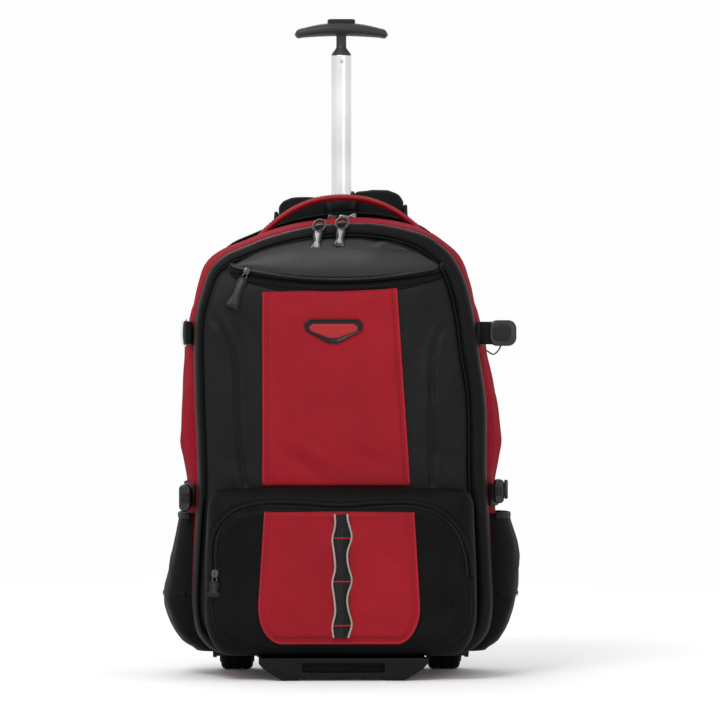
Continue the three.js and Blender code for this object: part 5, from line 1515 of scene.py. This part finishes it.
def make_buckles():
    frame_buckle("lower_buckle_left", "lower_left_buckle")
    frame_buckle("lower_buckle_right", "lower_right_buckle")
    low, high = box_of("upper_buckle_left")
    centre = (low + high) / 2
    ring = link("upper_left_ring", centre, np.array([0.0, 0.0, 1.0]), np.array([1.0, 0.0, 0.0]),
                (high[2] - low[2]) / 2 - 1.6, (high[0] - low[0]) / 2 - 1.6, 3.4, POLE_SILVER)
    fold = block("upper_left_fold",
                 rounded_shape(centre[0] + 0.5, high[0] + 3.0, low[2] + 3.0, high[2] - 3.0, 2.0, 4),
                 9.0, BLACK_BAND, "y", centre[1], 1.2, 3)
    bar = block("upper_left_bar",
                rounded_shape(centre[0] - 1.4, centre[0] + 1.8, low[2] + 2.5, high[2] - 2.5, 1.4, 4),
                high[1] - low[1] - 6.0, GLOSS_PLASTIC, "y", centre[1] + 2.0, 0.8, 3)
    settle(joined("upper_left_buckle", [ring, fold, bar]), ["upper_buckle_left"])
    low, high = box_of("upper_buckle_right")
    middle = (low[1] + high[1]) / 2
    plate = block("plate_shell", rounded_shape(low[0], high[0], low[2], high[2], 9.0, 8), high[1] - low[1],
                  GLOSS_PLASTIC, "y", middle, 2.4, 4)
    field = block("plate_field", rounded_shape(low[0] + 5, high[0] - 6, low[2] + 5, high[2] - 5, 6.0, 8),
                  high[1] - low[1] + 1.4, BLACK_PLASTIC, "y", middle, 0.7, 3)
    hang = np.array([(14, 0, 3), (11, 0, -4), (5, 0, -9), (-2, 1, -5)])
    tail = curve_through(np.array([low[0], middle, low[2]]) + hang, False, 24)
    cord = sweep("plate_tail", tail, [0.0, -1.0, 0.0], flat_section(1.4, 6.0), WEBBING)
    settle(joined("upper_right_buckle", [plate, field, cord]), ["upper_buckle_right"])
    low, high = box_of("upper_loop_right")
    middle_y, middle_z = (low[1] + high[1]) / 2, (low[2] + high[2]) / 2
    path = np.array([(x, middle_y, middle_z) for x in np.linspace(low[0] - 3.5, high[0] + 5.0, 12)])
    loop = sweep("upper_right_loop", path, [0.0, -1.0, 0.0],
                 flat_section(high[2] - low[2] - 0.4, 4.4, 0.3), WEBBING)
    fold = block("upper_right_fold",
                 rounded_shape(low[0] + 1.0, high[0] + 1.0, low[2] + 0.4, high[2] - 0.4, 1.6, 4),
                 high[1] - low[1] - 0.8, BLACK_BAND, "y", middle_y, 1.0, 2)
    settle(joined("upper_right_webbing", [loop, fold]), ["upper_loop_right"])
    low, high = box_of("strap_end_right")
    middle = (low + high) / 2
    path = np.array([(middle[0], y, middle[2]) for y in np.linspace(low[1], high[1], 8)])
    end = sweep("lower_right_end", path, [1.0, 0.0, 0.0],
                flat_section(high[2] - low[2] - 0.4, high[0] - low[0] - 0.4, 0.0), GREY_PLASTIC)
    settle(end, ["strap_end_right"])


# Zip pulls
FRONT = np.array([0.0, -1.0, 0.0])


def slab(name, start, down, out, rows, thickness, finish, lift=0.0):
    """Flat shape with rounded edges: rows of distance down from start and half width there."""
    side = unit(np.cross(down, out))
    rings = []
    for along, half in rows:
        centre = start + down * along + out * (thickness / 2 + lift)
        section = round_section(2 * half, thickness, 16, 0.7, 0.75)
        rings.append(centre + section[:, :1] * side + section[:, 1:] * out)
    return shell(name, rings, finish)


def link(name, centre, along, side, long, wide, thick, finish):
    """Closed wire link round a centre."""
    angles = np.linspace(0, 2 * math.pi, 33)[:-1]
    path = centre + np.outer(np.cos(angles), along) * long + np.outer(np.sin(angles), side) * wide
    out = unit(np.cross(along, side))
    return sweep(name, path, out, round_section(thick, thick, 10, 1.0, 1.0), finish,
                 looped=True)


def facing_front(down):
    """The way square to down that looks to the front."""
    out = unit(np.cross(unit(np.cross(down, FRONT)), down))
    return out if out[1] < 0 else -out


def pull_tab(name, start, down, out, length, finish, core):
    """Hourglass pull with a raised core and a dark rim under it; the rim is partly the pull's dark edge and
    partly painted shadow below it, and a pale core is a painted highlight.
    """
    waist = length * 0.52
    rows = [(0, 2.6), (0.9, 4.2), (waist - 2, 3.2), (waist + 1, 3.2), (length - 4, 5.6), (length - 1.4, 6.2),
            (length - 0.3, 4.9)]
    # Dark rim a little lower and wider than the tab: partly its dark edge, partly painted shadow below the
    # pull.
    under = [(along + 1.0, half + 1.3) for along, half in rows]
    return [slab(f"{name}_tab", start, down, out, rows, 2.4, finish, 0.9),
            slab(f"{name}_edge", start, down, out, under, 2.0, BLACK_PLASTIC),
            slab(f"{name}_core", start, down, out, [(2, 0.9), (3, 1.7), (waist, 1.2), (length - 5, 2.8),
                                                    (length - 3.4, 1.8)], 1.0, core, 2.8)]


def zip_pull(node, name, surface, x, z, off, length, lean, finish=PULL_METAL, core=PALE_METAL_AND_GLINT):
    """Slider on a zip of the face, with a ring and a hanging pull."""
    angle = math.radians(lean)
    flat_down = np.array([-math.sin(angle), 0.0, -math.cos(angle)])
    tip = np.array([x, 0.0, z]) + flat_down * length
    top_y = float(surface(np.array([x]), np.array([z]))[0]) - off
    tip_y = float(surface(tip[[0]], tip[[2]])[0]) - off
    down = unit(flat_down + np.array([0.0, (tip_y - top_y) / length, 0.0]))
    side = unit(np.cross(down, FRONT))
    out = facing_front(down)
    start = np.array([x, top_y, z])
    parts = [slab(f"{name}_slider", start, down, out,
                  [(-3.4, 1.6), (-2.6, 3.2), (0, 3.7), (3.0, 3.4), (5.0, 2.2)], 2.4, PULL_METAL),
             slab(f"{name}_bridge", start, down, out, [(-2.0, 0.7), (-1.2, 1.1), (3.6, 1.1), (4.4, 0.7)], 1.8,
                  PULL_METAL, 1.9),
             link(f"{name}_ring", start + down * 7.0 + out * 1.8, down, side, 2.9, 2.4, 1.3, PULL_METAL)]
    parts += pull_tab(name, start + down * 9.0, down, out, length - 9.0, finish, core)
    settle(joined(name, parts), [node])


def top_pull(node, name, x, lean, length):
    """Slider standing on the main zip, its ring over the rolled band and its pull hanging in front."""
    ring = ring_at(BODY, BODY_FRONT - ZIP_TAPE / 2, -1.0)
    upper = ring[ring[:, 2] > BODY_TOP - 60]
    z = float(np.interp(x, np.sort(upper[:, 0]), upper[np.argsort(upper[:, 0]), 2]))
    right, up = np.eye(3)[0], np.eye(3)[2]
    seat = np.array([x, BODY_FRONT - ZIP_TAPE / 2, z])
    parts = [slab(f"{name}_slider", seat - right * 6.5, right, up,
                  [(0, 2.4), (1.5, 4.2), (7, 3.6), (11.5, 4.0), (13, 2.6)], 3.4, PULL_METAL)]
    angles = np.linspace(0.05, math.pi - 0.05, 20)
    arch = seat + FRONT * 3.4 + up
    arch = arch + np.outer(np.cos(angles), right) * 5.6 + np.outer(np.sin(angles), up) * 6.4
    # Pale metal bridge: a painted highlight over the slider.
    parts.append(sweep(f"{name}_bridge", arch, FRONT, round_section(2.4, 3.0, 10),
                       PALE_METAL_AND_GLINT))
    reach = unit(FRONT * 0.82 - up * 0.58 - right * 0.1)
    hold = seat + FRONT * 16.5 + up * 0.5
    parts.append(link(f"{name}_ring", hold, reach, right, 11.6, 6.4, 3.3, GLOSS_PLASTIC))
    eye = hold + reach * 10.5
    angle = math.radians(lean)
    down = unit(np.array([-math.sin(angle), -0.16, -math.cos(angle)]))
    # The tab's pale core is a painted highlight.
    parts += pull_tab(name, eye, down, facing_front(down), length, PULL_METAL, PALE_METAL_AND_GLINT)
    settle(joined(name, parts), [node])


def make_pulls():
    top_pull("main_pull_left", "main_left_pull", -25.0, 9, 22.0)
    top_pull("main_pull_right", "main_right_pull", -0.5, 9, 20.0)
    smile_x = PANEL_SHIFT - ZIP_SIDE * 5 / 6
    zip_pull("upper_pull", "upper_left_pull", panel_y, smile_x, zip_z(smile_x), 2.1, 44, 22, BLACK_PLASTIC,
             GLOSS_PLASTIC)
    zip_pull("lower_pull", "lower_left_pull", lower_y, LOWER_SHIFT - 0.925 * LOWER_WIDTH / 2,
             LOWER_BOTTOM + 0.48 * LOWER_HEIGHT + 4, 3.0, 25, 4, BLACK_PLASTIC, GLOSS_PLASTIC)
    zip_pull("rear_pull", "rear_top_pull", lambda x, z: np.full(np.shape(x), REAR_FRONT), -11, REAR_TOP - 4,
             0.6, 28, -87, PALE_METAL_AND_GLINT, BLACK_PLASTIC)


# Carry handle
def make_handle():
    """Padded red arch with piping along both edges and a stitched line along each side."""
    count = 80
    across = np.linspace(-1, 1, count)
    middle = (HANDLE_LEFT + HANDLE_RIGHT) / 2
    half = (HANDLE_RIGHT - HANDLE_LEFT) / 2
    rise = 1 - np.abs(across) ** 2.25
    height = HANDLE_FOOT + (HANDLE_TOP - 3.5 - HANDLE_FOOT) * rise
    path = np.stack([middle + half * across, np.full(count, 30.0), height], axis=1)
    tangent = unit(np.gradient(path, axis=0))
    normals = np.cross(tangent, [0.0, 1.0, 0.0])
    normals *= np.sign(normals[:, 2:3] + 1e-6)
    keep = np.abs(across) < 0.985
    arch = sweep("handle_arch", path[keep], normals[keep], round_section(27.0, 6.6, 20, 0.5, 0.85), RED_NYLON)
    edges = []
    for side in (-1, 1):
        edge = path[keep] + np.array([0.0, side * 13.0, 0.0])
        edges.append(sweep(f"handle_edge_{side}", edge, normals[keep], round_section(3.0, 3.4, 10, 1.0, 1.0),
                           RED_PIPING))
    settle(joined("handle_padded", [arch, *edges]), ["carry_handle"])
    for side in (-1, 1):
        line = path[keep][4:-4] + np.array([0.0, side * 9.0, 0.0]) + normals[keep][4:-4] * 3.3
        name = f"handle_stitches_{'front' if side < 0 else 'back'}"
        settle(set_along(name, line, normals[keep][4:-4], "bead", (2.6, 0.7, 0.6), 4.0, DARK_THREAD))


# Shoulder straps and back pads
def strap_path(sign, rise, rows, count):
    points = [(POLE_X + sign * (STRAP_ROOT + row[0]), REAR_BACK + row[1] * STRAP_THICK,
               row[2] * STRAP_TOP + rise) for row in rows]
    return curve_through(points, False, count)


def make_shoulder_strap(side, sign, rise):
    """Padded strap with bound edges, two sewn lines and a webbing strip along its lower part."""
    count = 90
    path = strap_path(sign, rise, STRAP_ROWS, count)
    rows = np.array([[row[3], row[4]] for row in STRAP_ROWS])
    share = np.linspace(0, 1, count) * (len(rows) - 1)
    width = np.interp(share, np.arange(len(rows)), rows[:, 0]) * STRAP_WIDTH
    thick = np.interp(share, np.arange(len(rows)), rows[:, 1]) * STRAP_THICK
    sections = []
    for index in range(count):
        section = round_section(width[index] - 5, thick[index] * 0.84, 28, 0.5, 0.8)
        section[:, 1] *= 1 - 0.22 * np.exp(-((np.abs(section[:, 0]) - width[index] * 0.28) / 3.0) ** 2)
        sections.append(section)
    tangent = unit(np.gradient(path, axis=0))
    across = unit(np.array([1.0, 0.0, 0.0]) - tangent * tangent[:, :1])
    normals = np.cross(across, tangent)
    middle = POLE_X + sign * STRAP_ROOT
    top = STRAP_TOP * 0.99 + rise

    def bow(points):
        """Lets the corners of the folded top hang."""
        bent = np.array(points)
        aside = sign * (bent[..., 0] - middle) / (STRAP_WIDTH / 2)
        outer = np.clip(aside, 0, 1.05)
        hang = 3.0 * outer ** 2 + 17.0 * outer ** 6 + 1.5 * np.clip(-aside, 0, 1) ** 2
        bent[..., 2] -= smooth(bent[..., 2], top - 50, top) * hang
        return bent

    pad = sweep(f"shoulder_pad_{side}", path, normals, np.array(sections), LOWER_NYLON, bend=bow)
    plump(pad, 1.6, 3.0, 4.5)
    subdivide(pad)
    settle(pad, [f"shoulder_strap_{side}"])
    for edge in (-1, 1):
        line = bow(path + across * (edge * (width / 2 - 2.4))[:, None])
        settle(sweep(f"shoulder_binding_{side}_{'inner' if edge * sign < 0 else 'outer'}", line, normals,
                     round_section(4.4, 5.0, 12, 0.8, 0.8), BLACK_BAND))
    face = normals * np.sign(normals[:, 1:2] + 1e-6)
    over = path[26:] + face[26:] * (thick[26:] / 2 + 0.6)[:, None]
    web = sweep(f"strap_overlay_{side}", over, face[26:], flat_section(WEBBING_WIDTH, 1.6, 0.2), WEBBING)
    settle(web)


def make_lower_webbing(side, sign, rise):
    count = 60
    path = strap_path(sign, rise, WEBBING_ROWS, count)
    strap = sweep(f"lower_webbing_{side}", path, [0.0, 1.0, 0.0],
                  flat_section(WEBBING_WIDTH, 1.7, 0.2), WEBBING)
    settle(strap, [f"strap_webbing_{side}"])
    low, high = box_of(f"strap_adjuster_{side}")
    middle = (low + high) / 2
    bars = []
    for number, level in enumerate(np.linspace(low[2] + 2.2, high[2] - 2.2, 3)):
        bars.append(block(f"ladder_bar_{side}_{number}",
                          rounded_shape(low[0], high[0], level - 1.8, level + 1.8, 1.6, 4),
                          2.2, GLOSS_PLASTIC, "y", high[1] - 1.2, 0.7, 3))
    for number, place in enumerate((low[0] + 2, high[0] - 2)):
        bars.append(block(f"ladder_side_{side}_{number}",
                          rounded_shape(place - 1.9, place + 1.9, low[2], high[2], 1.7, 4),
                          high[1] - low[1], GLOSS_PLASTIC, "y", middle[1], 1.0, 3))
    settle(joined(f"ladder_{side}", bars), [f"strap_adjuster_{side}"])


PADS = ["back_pad_left", "back_pad_right", "lumbar_pad"]


def make_pad(node):
    """Mesh pad with a crowned face and sewn channels across it."""
    low, high = box_of(node)
    margin = 3.0
    cx, cz = (low[0] + high[0]) / 2, (low[2] + high[2]) / 2
    half_x, half_z = (high[0] - low[0]) / 2 - margin, (high[2] - low[2]) / 2 - margin
    radius = 24.0
    count = 120
    angles = np.linspace(0, 2 * np.pi, count, endpoint=False)
    unit_x, unit_z = squared(np.cos(angles), 0.42), squared(np.sin(angles), 0.42)
    depth = high[1] - low[1]
    rings = []
    for share, level in ((0.9, 0.0), (0.97, 0.05), (1.0, 0.3), (0.985, 0.55), (0.95, 0.75), (0.88, 0.9),
                         (0.75, 0.97), (0.55, 1.0), (0.3, 1.0), (0.1, 1.0)):
        x = cx + unit_x * (half_x - radius * 0.25 * (1 - share) - half_x * (1 - share) * 0.9)
        z = cz + unit_z * (half_z - radius * 0.25 * (1 - share) - half_z * (1 - share) * 0.9)
        rings.append(np.stack([x, np.full(count, low[1] + depth * level * 0.8), z], axis=1))
    pad = shell(f"{node}_cushion", rings, PAD_MESH)
    wall = (low[1] - 0.1) * MM + SHIFT[1]

    def hold(points):
        points[:, 1] = np.maximum(points[:, 1], wall)
        return points

    plump(pad, 2.2, 5.0, 4.0, hold)
    channel_pad(pad, node, low, high)
    settle(subdivide(pad), [node])
    edge = np.stack([cx + unit_x * (half_x + 1.0), np.full(count, low[1] + 1.6),
                     cz + unit_z * (half_z + 1.0)], axis=1)
    settle(sweep(f"{node}_binding", edge, [0.0, 1.0, 0.0],
                 round_section(4.0, 3.4, 10, 0.9, 0.9), BLACK_BAND, looped=True))


def channel_pad(pad, node, low, high):
    """Presses the sewn channels into a pad's outer face."""
    points = (read_points(pad.data) - SHIFT) / MM
    outer = smooth(points[:, 1], (low[1] + high[1]) / 2, high[1] - 1.0)
    tall = node != "lumbar_pad"
    span = (low[2], high[2]) if tall else (low[0], high[0])
    place = points[:, 2] if tall else points[:, 0]
    press = np.zeros(len(points))
    for line in np.linspace(span[0], span[1], 6)[1:-1]:
        press += 2.6 * np.exp(-((place - line) / 2.6) ** 2)
    points[:, 1] -= press * outer
    pad.data.vertices.foreach_set("co", (points * MM + SHIFT).ravel())
    pad.data.update()


# Pole, grip and base
TUBE_RADIUS = 13.0
SLIDE_RADIUS = TUBE_RADIUS - 1.5 - 0.4
TUBE_TOP = REAR_TOP + 13.7
POLE_TOP = TUBE_TOP + 164.0
GRIP_BOTTOM = POLE_TOP + 22.0


def make_pole():
    centre = np.array([POLE_X, POLE_Y, 0.0])
    inner_bottom = POLE_TOP - 460
    tube = lathe("sliding_tube", [(SLIDE_RADIUS - 1.5, inner_bottom), (SLIDE_RADIUS, inner_bottom),
                                  (SLIDE_RADIUS, inner_bottom + 1), (SLIDE_RADIUS, POLE_TOP - 1),
                                  (SLIDE_RADIUS, POLE_TOP), (SLIDE_RADIUS - 1.5, POLE_TOP),
                                  (SLIDE_RADIUS - 1.5, inner_bottom)], POLE_SILVER, centre, segments=64)
    settle(tube, ["inner_tube"], body="handle")
    face = POLE_Y - SLIDE_RADIUS
    head = [(0, face - 0.9), (1.1, face - 0.8), (1.9, face - 0.2), (1.9, face + 2.4), (0, face + 2.4)]
    rivet = lathe("pole_rivet_head", head, STEEL, np.array([POLE_X, 0.0, POLE_TOP - 7]), "y", 24)
    settle(rivet, ["pole_rivet"], body="handle")
    bore = TUBE_RADIUS - 1.5
    wall = [(TUBE_RADIUS, BODY_BOTTOM), (TUBE_RADIUS, TUBE_TOP), (bore, TUBE_TOP), (bore, BODY_BOTTOM)]
    outer = lathe("fixed_tube", [*wall, wall[0]], POLE_SILVER, centre)
    settle(outer, ["outer_tube"])
    top = box_of("pole_collar")[1][2]
    lip = SLIDE_RADIUS + 0.4
    collar = lathe("collar_ring", [(16.5, REAR_TOP - 3.0), (16.5, top - 4), (15.6, top - 1.4), (14.0, top),
                                   (lip, top), (lip, TUBE_TOP + 0.3), (13.3, TUBE_TOP + 0.3),
                                   (13.3, REAR_TOP - 3.0), (16.5, REAR_TOP - 3.0)], STAND_PLASTIC, centre)
    settle(collar, ["pole_collar"])


def make_grip():
    """T-grip with drooping rounded ends, a waisted stem and a cone over the tube."""
    height, width, depth, droop = 15.0, 104.0, 27.0, 6.0
    count = 56
    along = np.linspace(-1, 1, count)
    rings = []
    for place in along:
        size = 1 - 0.42 * place ** 2
        end = math.sqrt(max(1 - max((abs(place) - 0.9) / 0.1, 0.0) ** 2, 0.012))
        ball = 1 + 0.10 * math.exp(-((abs(place) - 0.93) / 0.06) ** 2)
        middle = GRIP_BOTTOM + height / 2 - droop * place ** 2
        angles = np.arange(40) * 2 * np.pi / 40
        flat_top = squared(np.sin(angles), 0.9)
        rings.append(np.stack([np.full(40, POLE_X + place * width / 2),
                               POLE_Y + np.cos(angles) * depth / 2 * size * end * ball,
                               middle + flat_top * height / 2 * size * end * ball], axis=1))
    bar = shell("grip_bar", rings, GREY_PLASTIC)
    cone = POLE_TOP + 0.3
    rows = [(0, cone), (SLIDE_RADIUS - 0.4, cone), (SLIDE_RADIUS, cone + 0.5),
            (SLIDE_RADIUS - 0.6, cone + 2.0),
            (6.4, cone + 7.4), (5.6, cone + 9.5), (5.6, GRIP_BOTTOM), (7.4, GRIP_BOTTOM + 2.4),
            (9.0, GRIP_BOTTOM + 5), (0, GRIP_BOTTOM + 6)]
    stem = lathe("grip_stem", rows, GREY_PLASTIC, np.array([POLE_X, POLE_Y, 0.0]))
    settle(joined("grip_moulded", [bar, stem]), ["grip"], body="handle")
    low, high = box_of("grip_button")
    shape = rounded_shape(low[0], high[0], low[1], high[1], (high[1] - low[1]) / 2 - 0.6, 8)
    cap = block("button_cap", shape, high[2] - low[2], BLACK_PLASTIC, "z", (low[2] + high[2]) / 2, 1.6, 4)
    settle(cap, ["grip_button"], body="button")


WHEEL_RADIUS = 27.0
WHEEL_WIDTH = 40.0
WHEEL_X = 115.0
AXLE_Y = 79.0


def make_wheel(side, sign):
    """Two-piece wheel: a grooved tyre on a dished hub."""
    centre = np.array([sign * WHEEL_X, AXLE_Y, WHEEL_RADIUS])
    half = WHEEL_WIDTH / 2
    tyre = [(19.0, 2 - half), (23.0, 2.4 - half), (25.4, 3.6 - half), (26.6, 5.6 - half), (27.0, 7.6 - half),
            (27.0, -7.2), (26.5, -6.4), (26.5, -5.6), (27.0, -4.8)]
    hub = [(4.4, -half), (8.6, -half), (9.4, 1.2 - half), (9.4, 4 - half), (17.2, 4 - half),
           (17.8, 0.8 - half), (19.2, 0.8 - half)]
    parts = []
    for name, rows, finish, segments in (("tyre", tyre, WHEEL_RUBBER, 72), ("hub", hub, BLACK_PLASTIC, 60)):
        mirrored = [(radius, -along) for radius, along in rows[::-1]]
        parts.append(lathe(f"{name}_{side}", [*rows, *mirrored, rows[0]], finish, centre, "x", segments))
    settle(joined(f"wheel_turned_{side}", parts), [f"wheel_{side}"], body=f"{side}_wheel")


def cut_from(piece, cutter):
    """The piece with the cutter's shape taken out of it."""
    taking = piece.modifiers.new("cut", "BOOLEAN")
    taking.object = cutter
    taking.solver = "EXACT"
    result = evaluated_mesh(piece)
    piece.modifiers.clear()
    old = piece.data
    finish = old.materials[0]
    piece.data = result
    result.materials.clear()
    result.materials.append(finish)
    result.polygons.foreach_set("material_index", np.zeros(len(result.polygons), np.int32))
    bpy.data.meshes.remove(old)
    spare = cutter.data
    bpy.data.objects.remove(cutter)
    bpy.data.meshes.remove(spare)
    return piece


TRAY_TOP = BODY_BOTTOM - GAP
STAND_DEPTH = 24.0
RECESS_DEPTH = 17.0
FOOT_INNER = 46.0
FOOT_OUTER = 90.0
FOOT_SOLE = 17.0
FOOT_RISE = 12.0
STAND_SIDE = 18.0
BAR_BOTTOM = 3.3
BAR_TOP = 8.5


def make_stand():
    """Front stand: two feet joined by a bar, with a recess above the bar."""
    sole = FOOT_INNER + 2 + FOOT_SOLE
    right = [(FOOT_OUTER, TRAY_TOP), (FOOT_OUTER, STAND_SIDE), (FOOT_OUTER - 5.5, FOOT_RISE), (sole, 0),
             (FOOT_INNER + 2, 0), (FOOT_INNER, BAR_BOTTOM)]
    left = [(-x, z) for x, z in right[::-1]]
    middle = STAND_FRONT + STAND_DEPTH / 2
    stand = block("stand_body", right + left, STAND_DEPTH, STAND_PLASTIC, "y", middle, 0)
    hollow = block("stand_hollow",
                   rounded_shape(-FOOT_INNER + 2, FOOT_INNER - 2, BAR_TOP, STAND_SIDE + 0.5, 3),
                   RECESS_DEPTH + 2, BLACK_PLASTIC, "y", STAND_FRONT - 1 + (RECESS_DEPTH + 2) / 2, 0)
    stand = cut_from(stand, hollow)
    soften(stand, 1.3, 3)
    settle(stand, ["front_stand"])


def make_housings():
    """Wheel housings with open undersides, and the tray between them."""
    for side, sign in (("left", -1), ("right", 1)):
        low, high = box_of(f"wheel_housing_{side}")
        outside = block(f"housing_shape_{side}", rounded_shape(low[1], high[1], low[2], high[2], 12.0, 8),
                        high[0] - low[0], BLACK_PLASTIC, "x", (low[0] + high[0]) / 2, 0)
        hollow = lathe(f"housing_room_{side}", [(0, -22.4), (29.5, -22.4), (29.5, 22.4), (0, 22.4)],
                       BLACK_PLASTIC, np.array([sign * WHEEL_X, AXLE_Y, WHEEL_RADIUS]), "x", 64)
        housing = cut_from(outside, hollow)
        soften(housing, 1.6, 3)
        low, high = box_of(f"axle_{side}")
        axle = lathe(f"axle_pin_{side}",
                     [(0, low[0]), (3.4, low[0]), (4.0, low[0] + 0.6), (4.0, high[0] - 0.6),
                                          (3.4, high[0]), (0, high[0])], STEEL,
                     np.array([0.0, AXLE_Y, WHEEL_RADIUS]), "x", 28)
        settle(housing, [f"wheel_housing_{side}"])
        settle(axle, [f"axle_{side}"])
    low, high = box_of("base_tray")
    tray = block("tray_plate", rounded_shape(low[0], high[0], low[1], high[1], 8.0, 6), high[2] - low[2],
                 BLACK_PLASTIC, "z", (low[2] + high[2]) / 2, 1.4, 3)
    settle(tray, ["base_tray"])


make_main_body()
make_zip_rings()
make_rear()
make_front()
make_hood()
zip_on("upper_zip", "upper_zip", UPPER_ZIP, front_y, 8.0, 1.0)
make_upper_panel()
make_lower_pocket()
make_lower_panel()
make_loop_strap()
make_badge()
make_side_pocket("left", -1, 1)
make_side_pocket("right", 1, 2)
for _side, _sign in (("left", -1), ("right", 1)):
    make_side_strap("upper", _side, _sign, UPPER_STRAP_HEIGHT)
    make_side_strap("lower", _side, _sign, LOWER_STRAP_HEIGHT)
make_buckles()
make_pulls()
make_handle()
make_shoulder_strap("left", -1, 0.0)
make_shoulder_strap("right", 1, RIGHT_STRAP_RISE)
make_lower_webbing("left", -1, 0.0)
make_lower_webbing("right", 1, RIGHT_STRAP_RISE)
for _node in PADS:
    make_pad(_node)
make_pole()
make_grip()
make_wheel("left", -1)
make_wheel("right", 1)
make_stand()
make_housings()
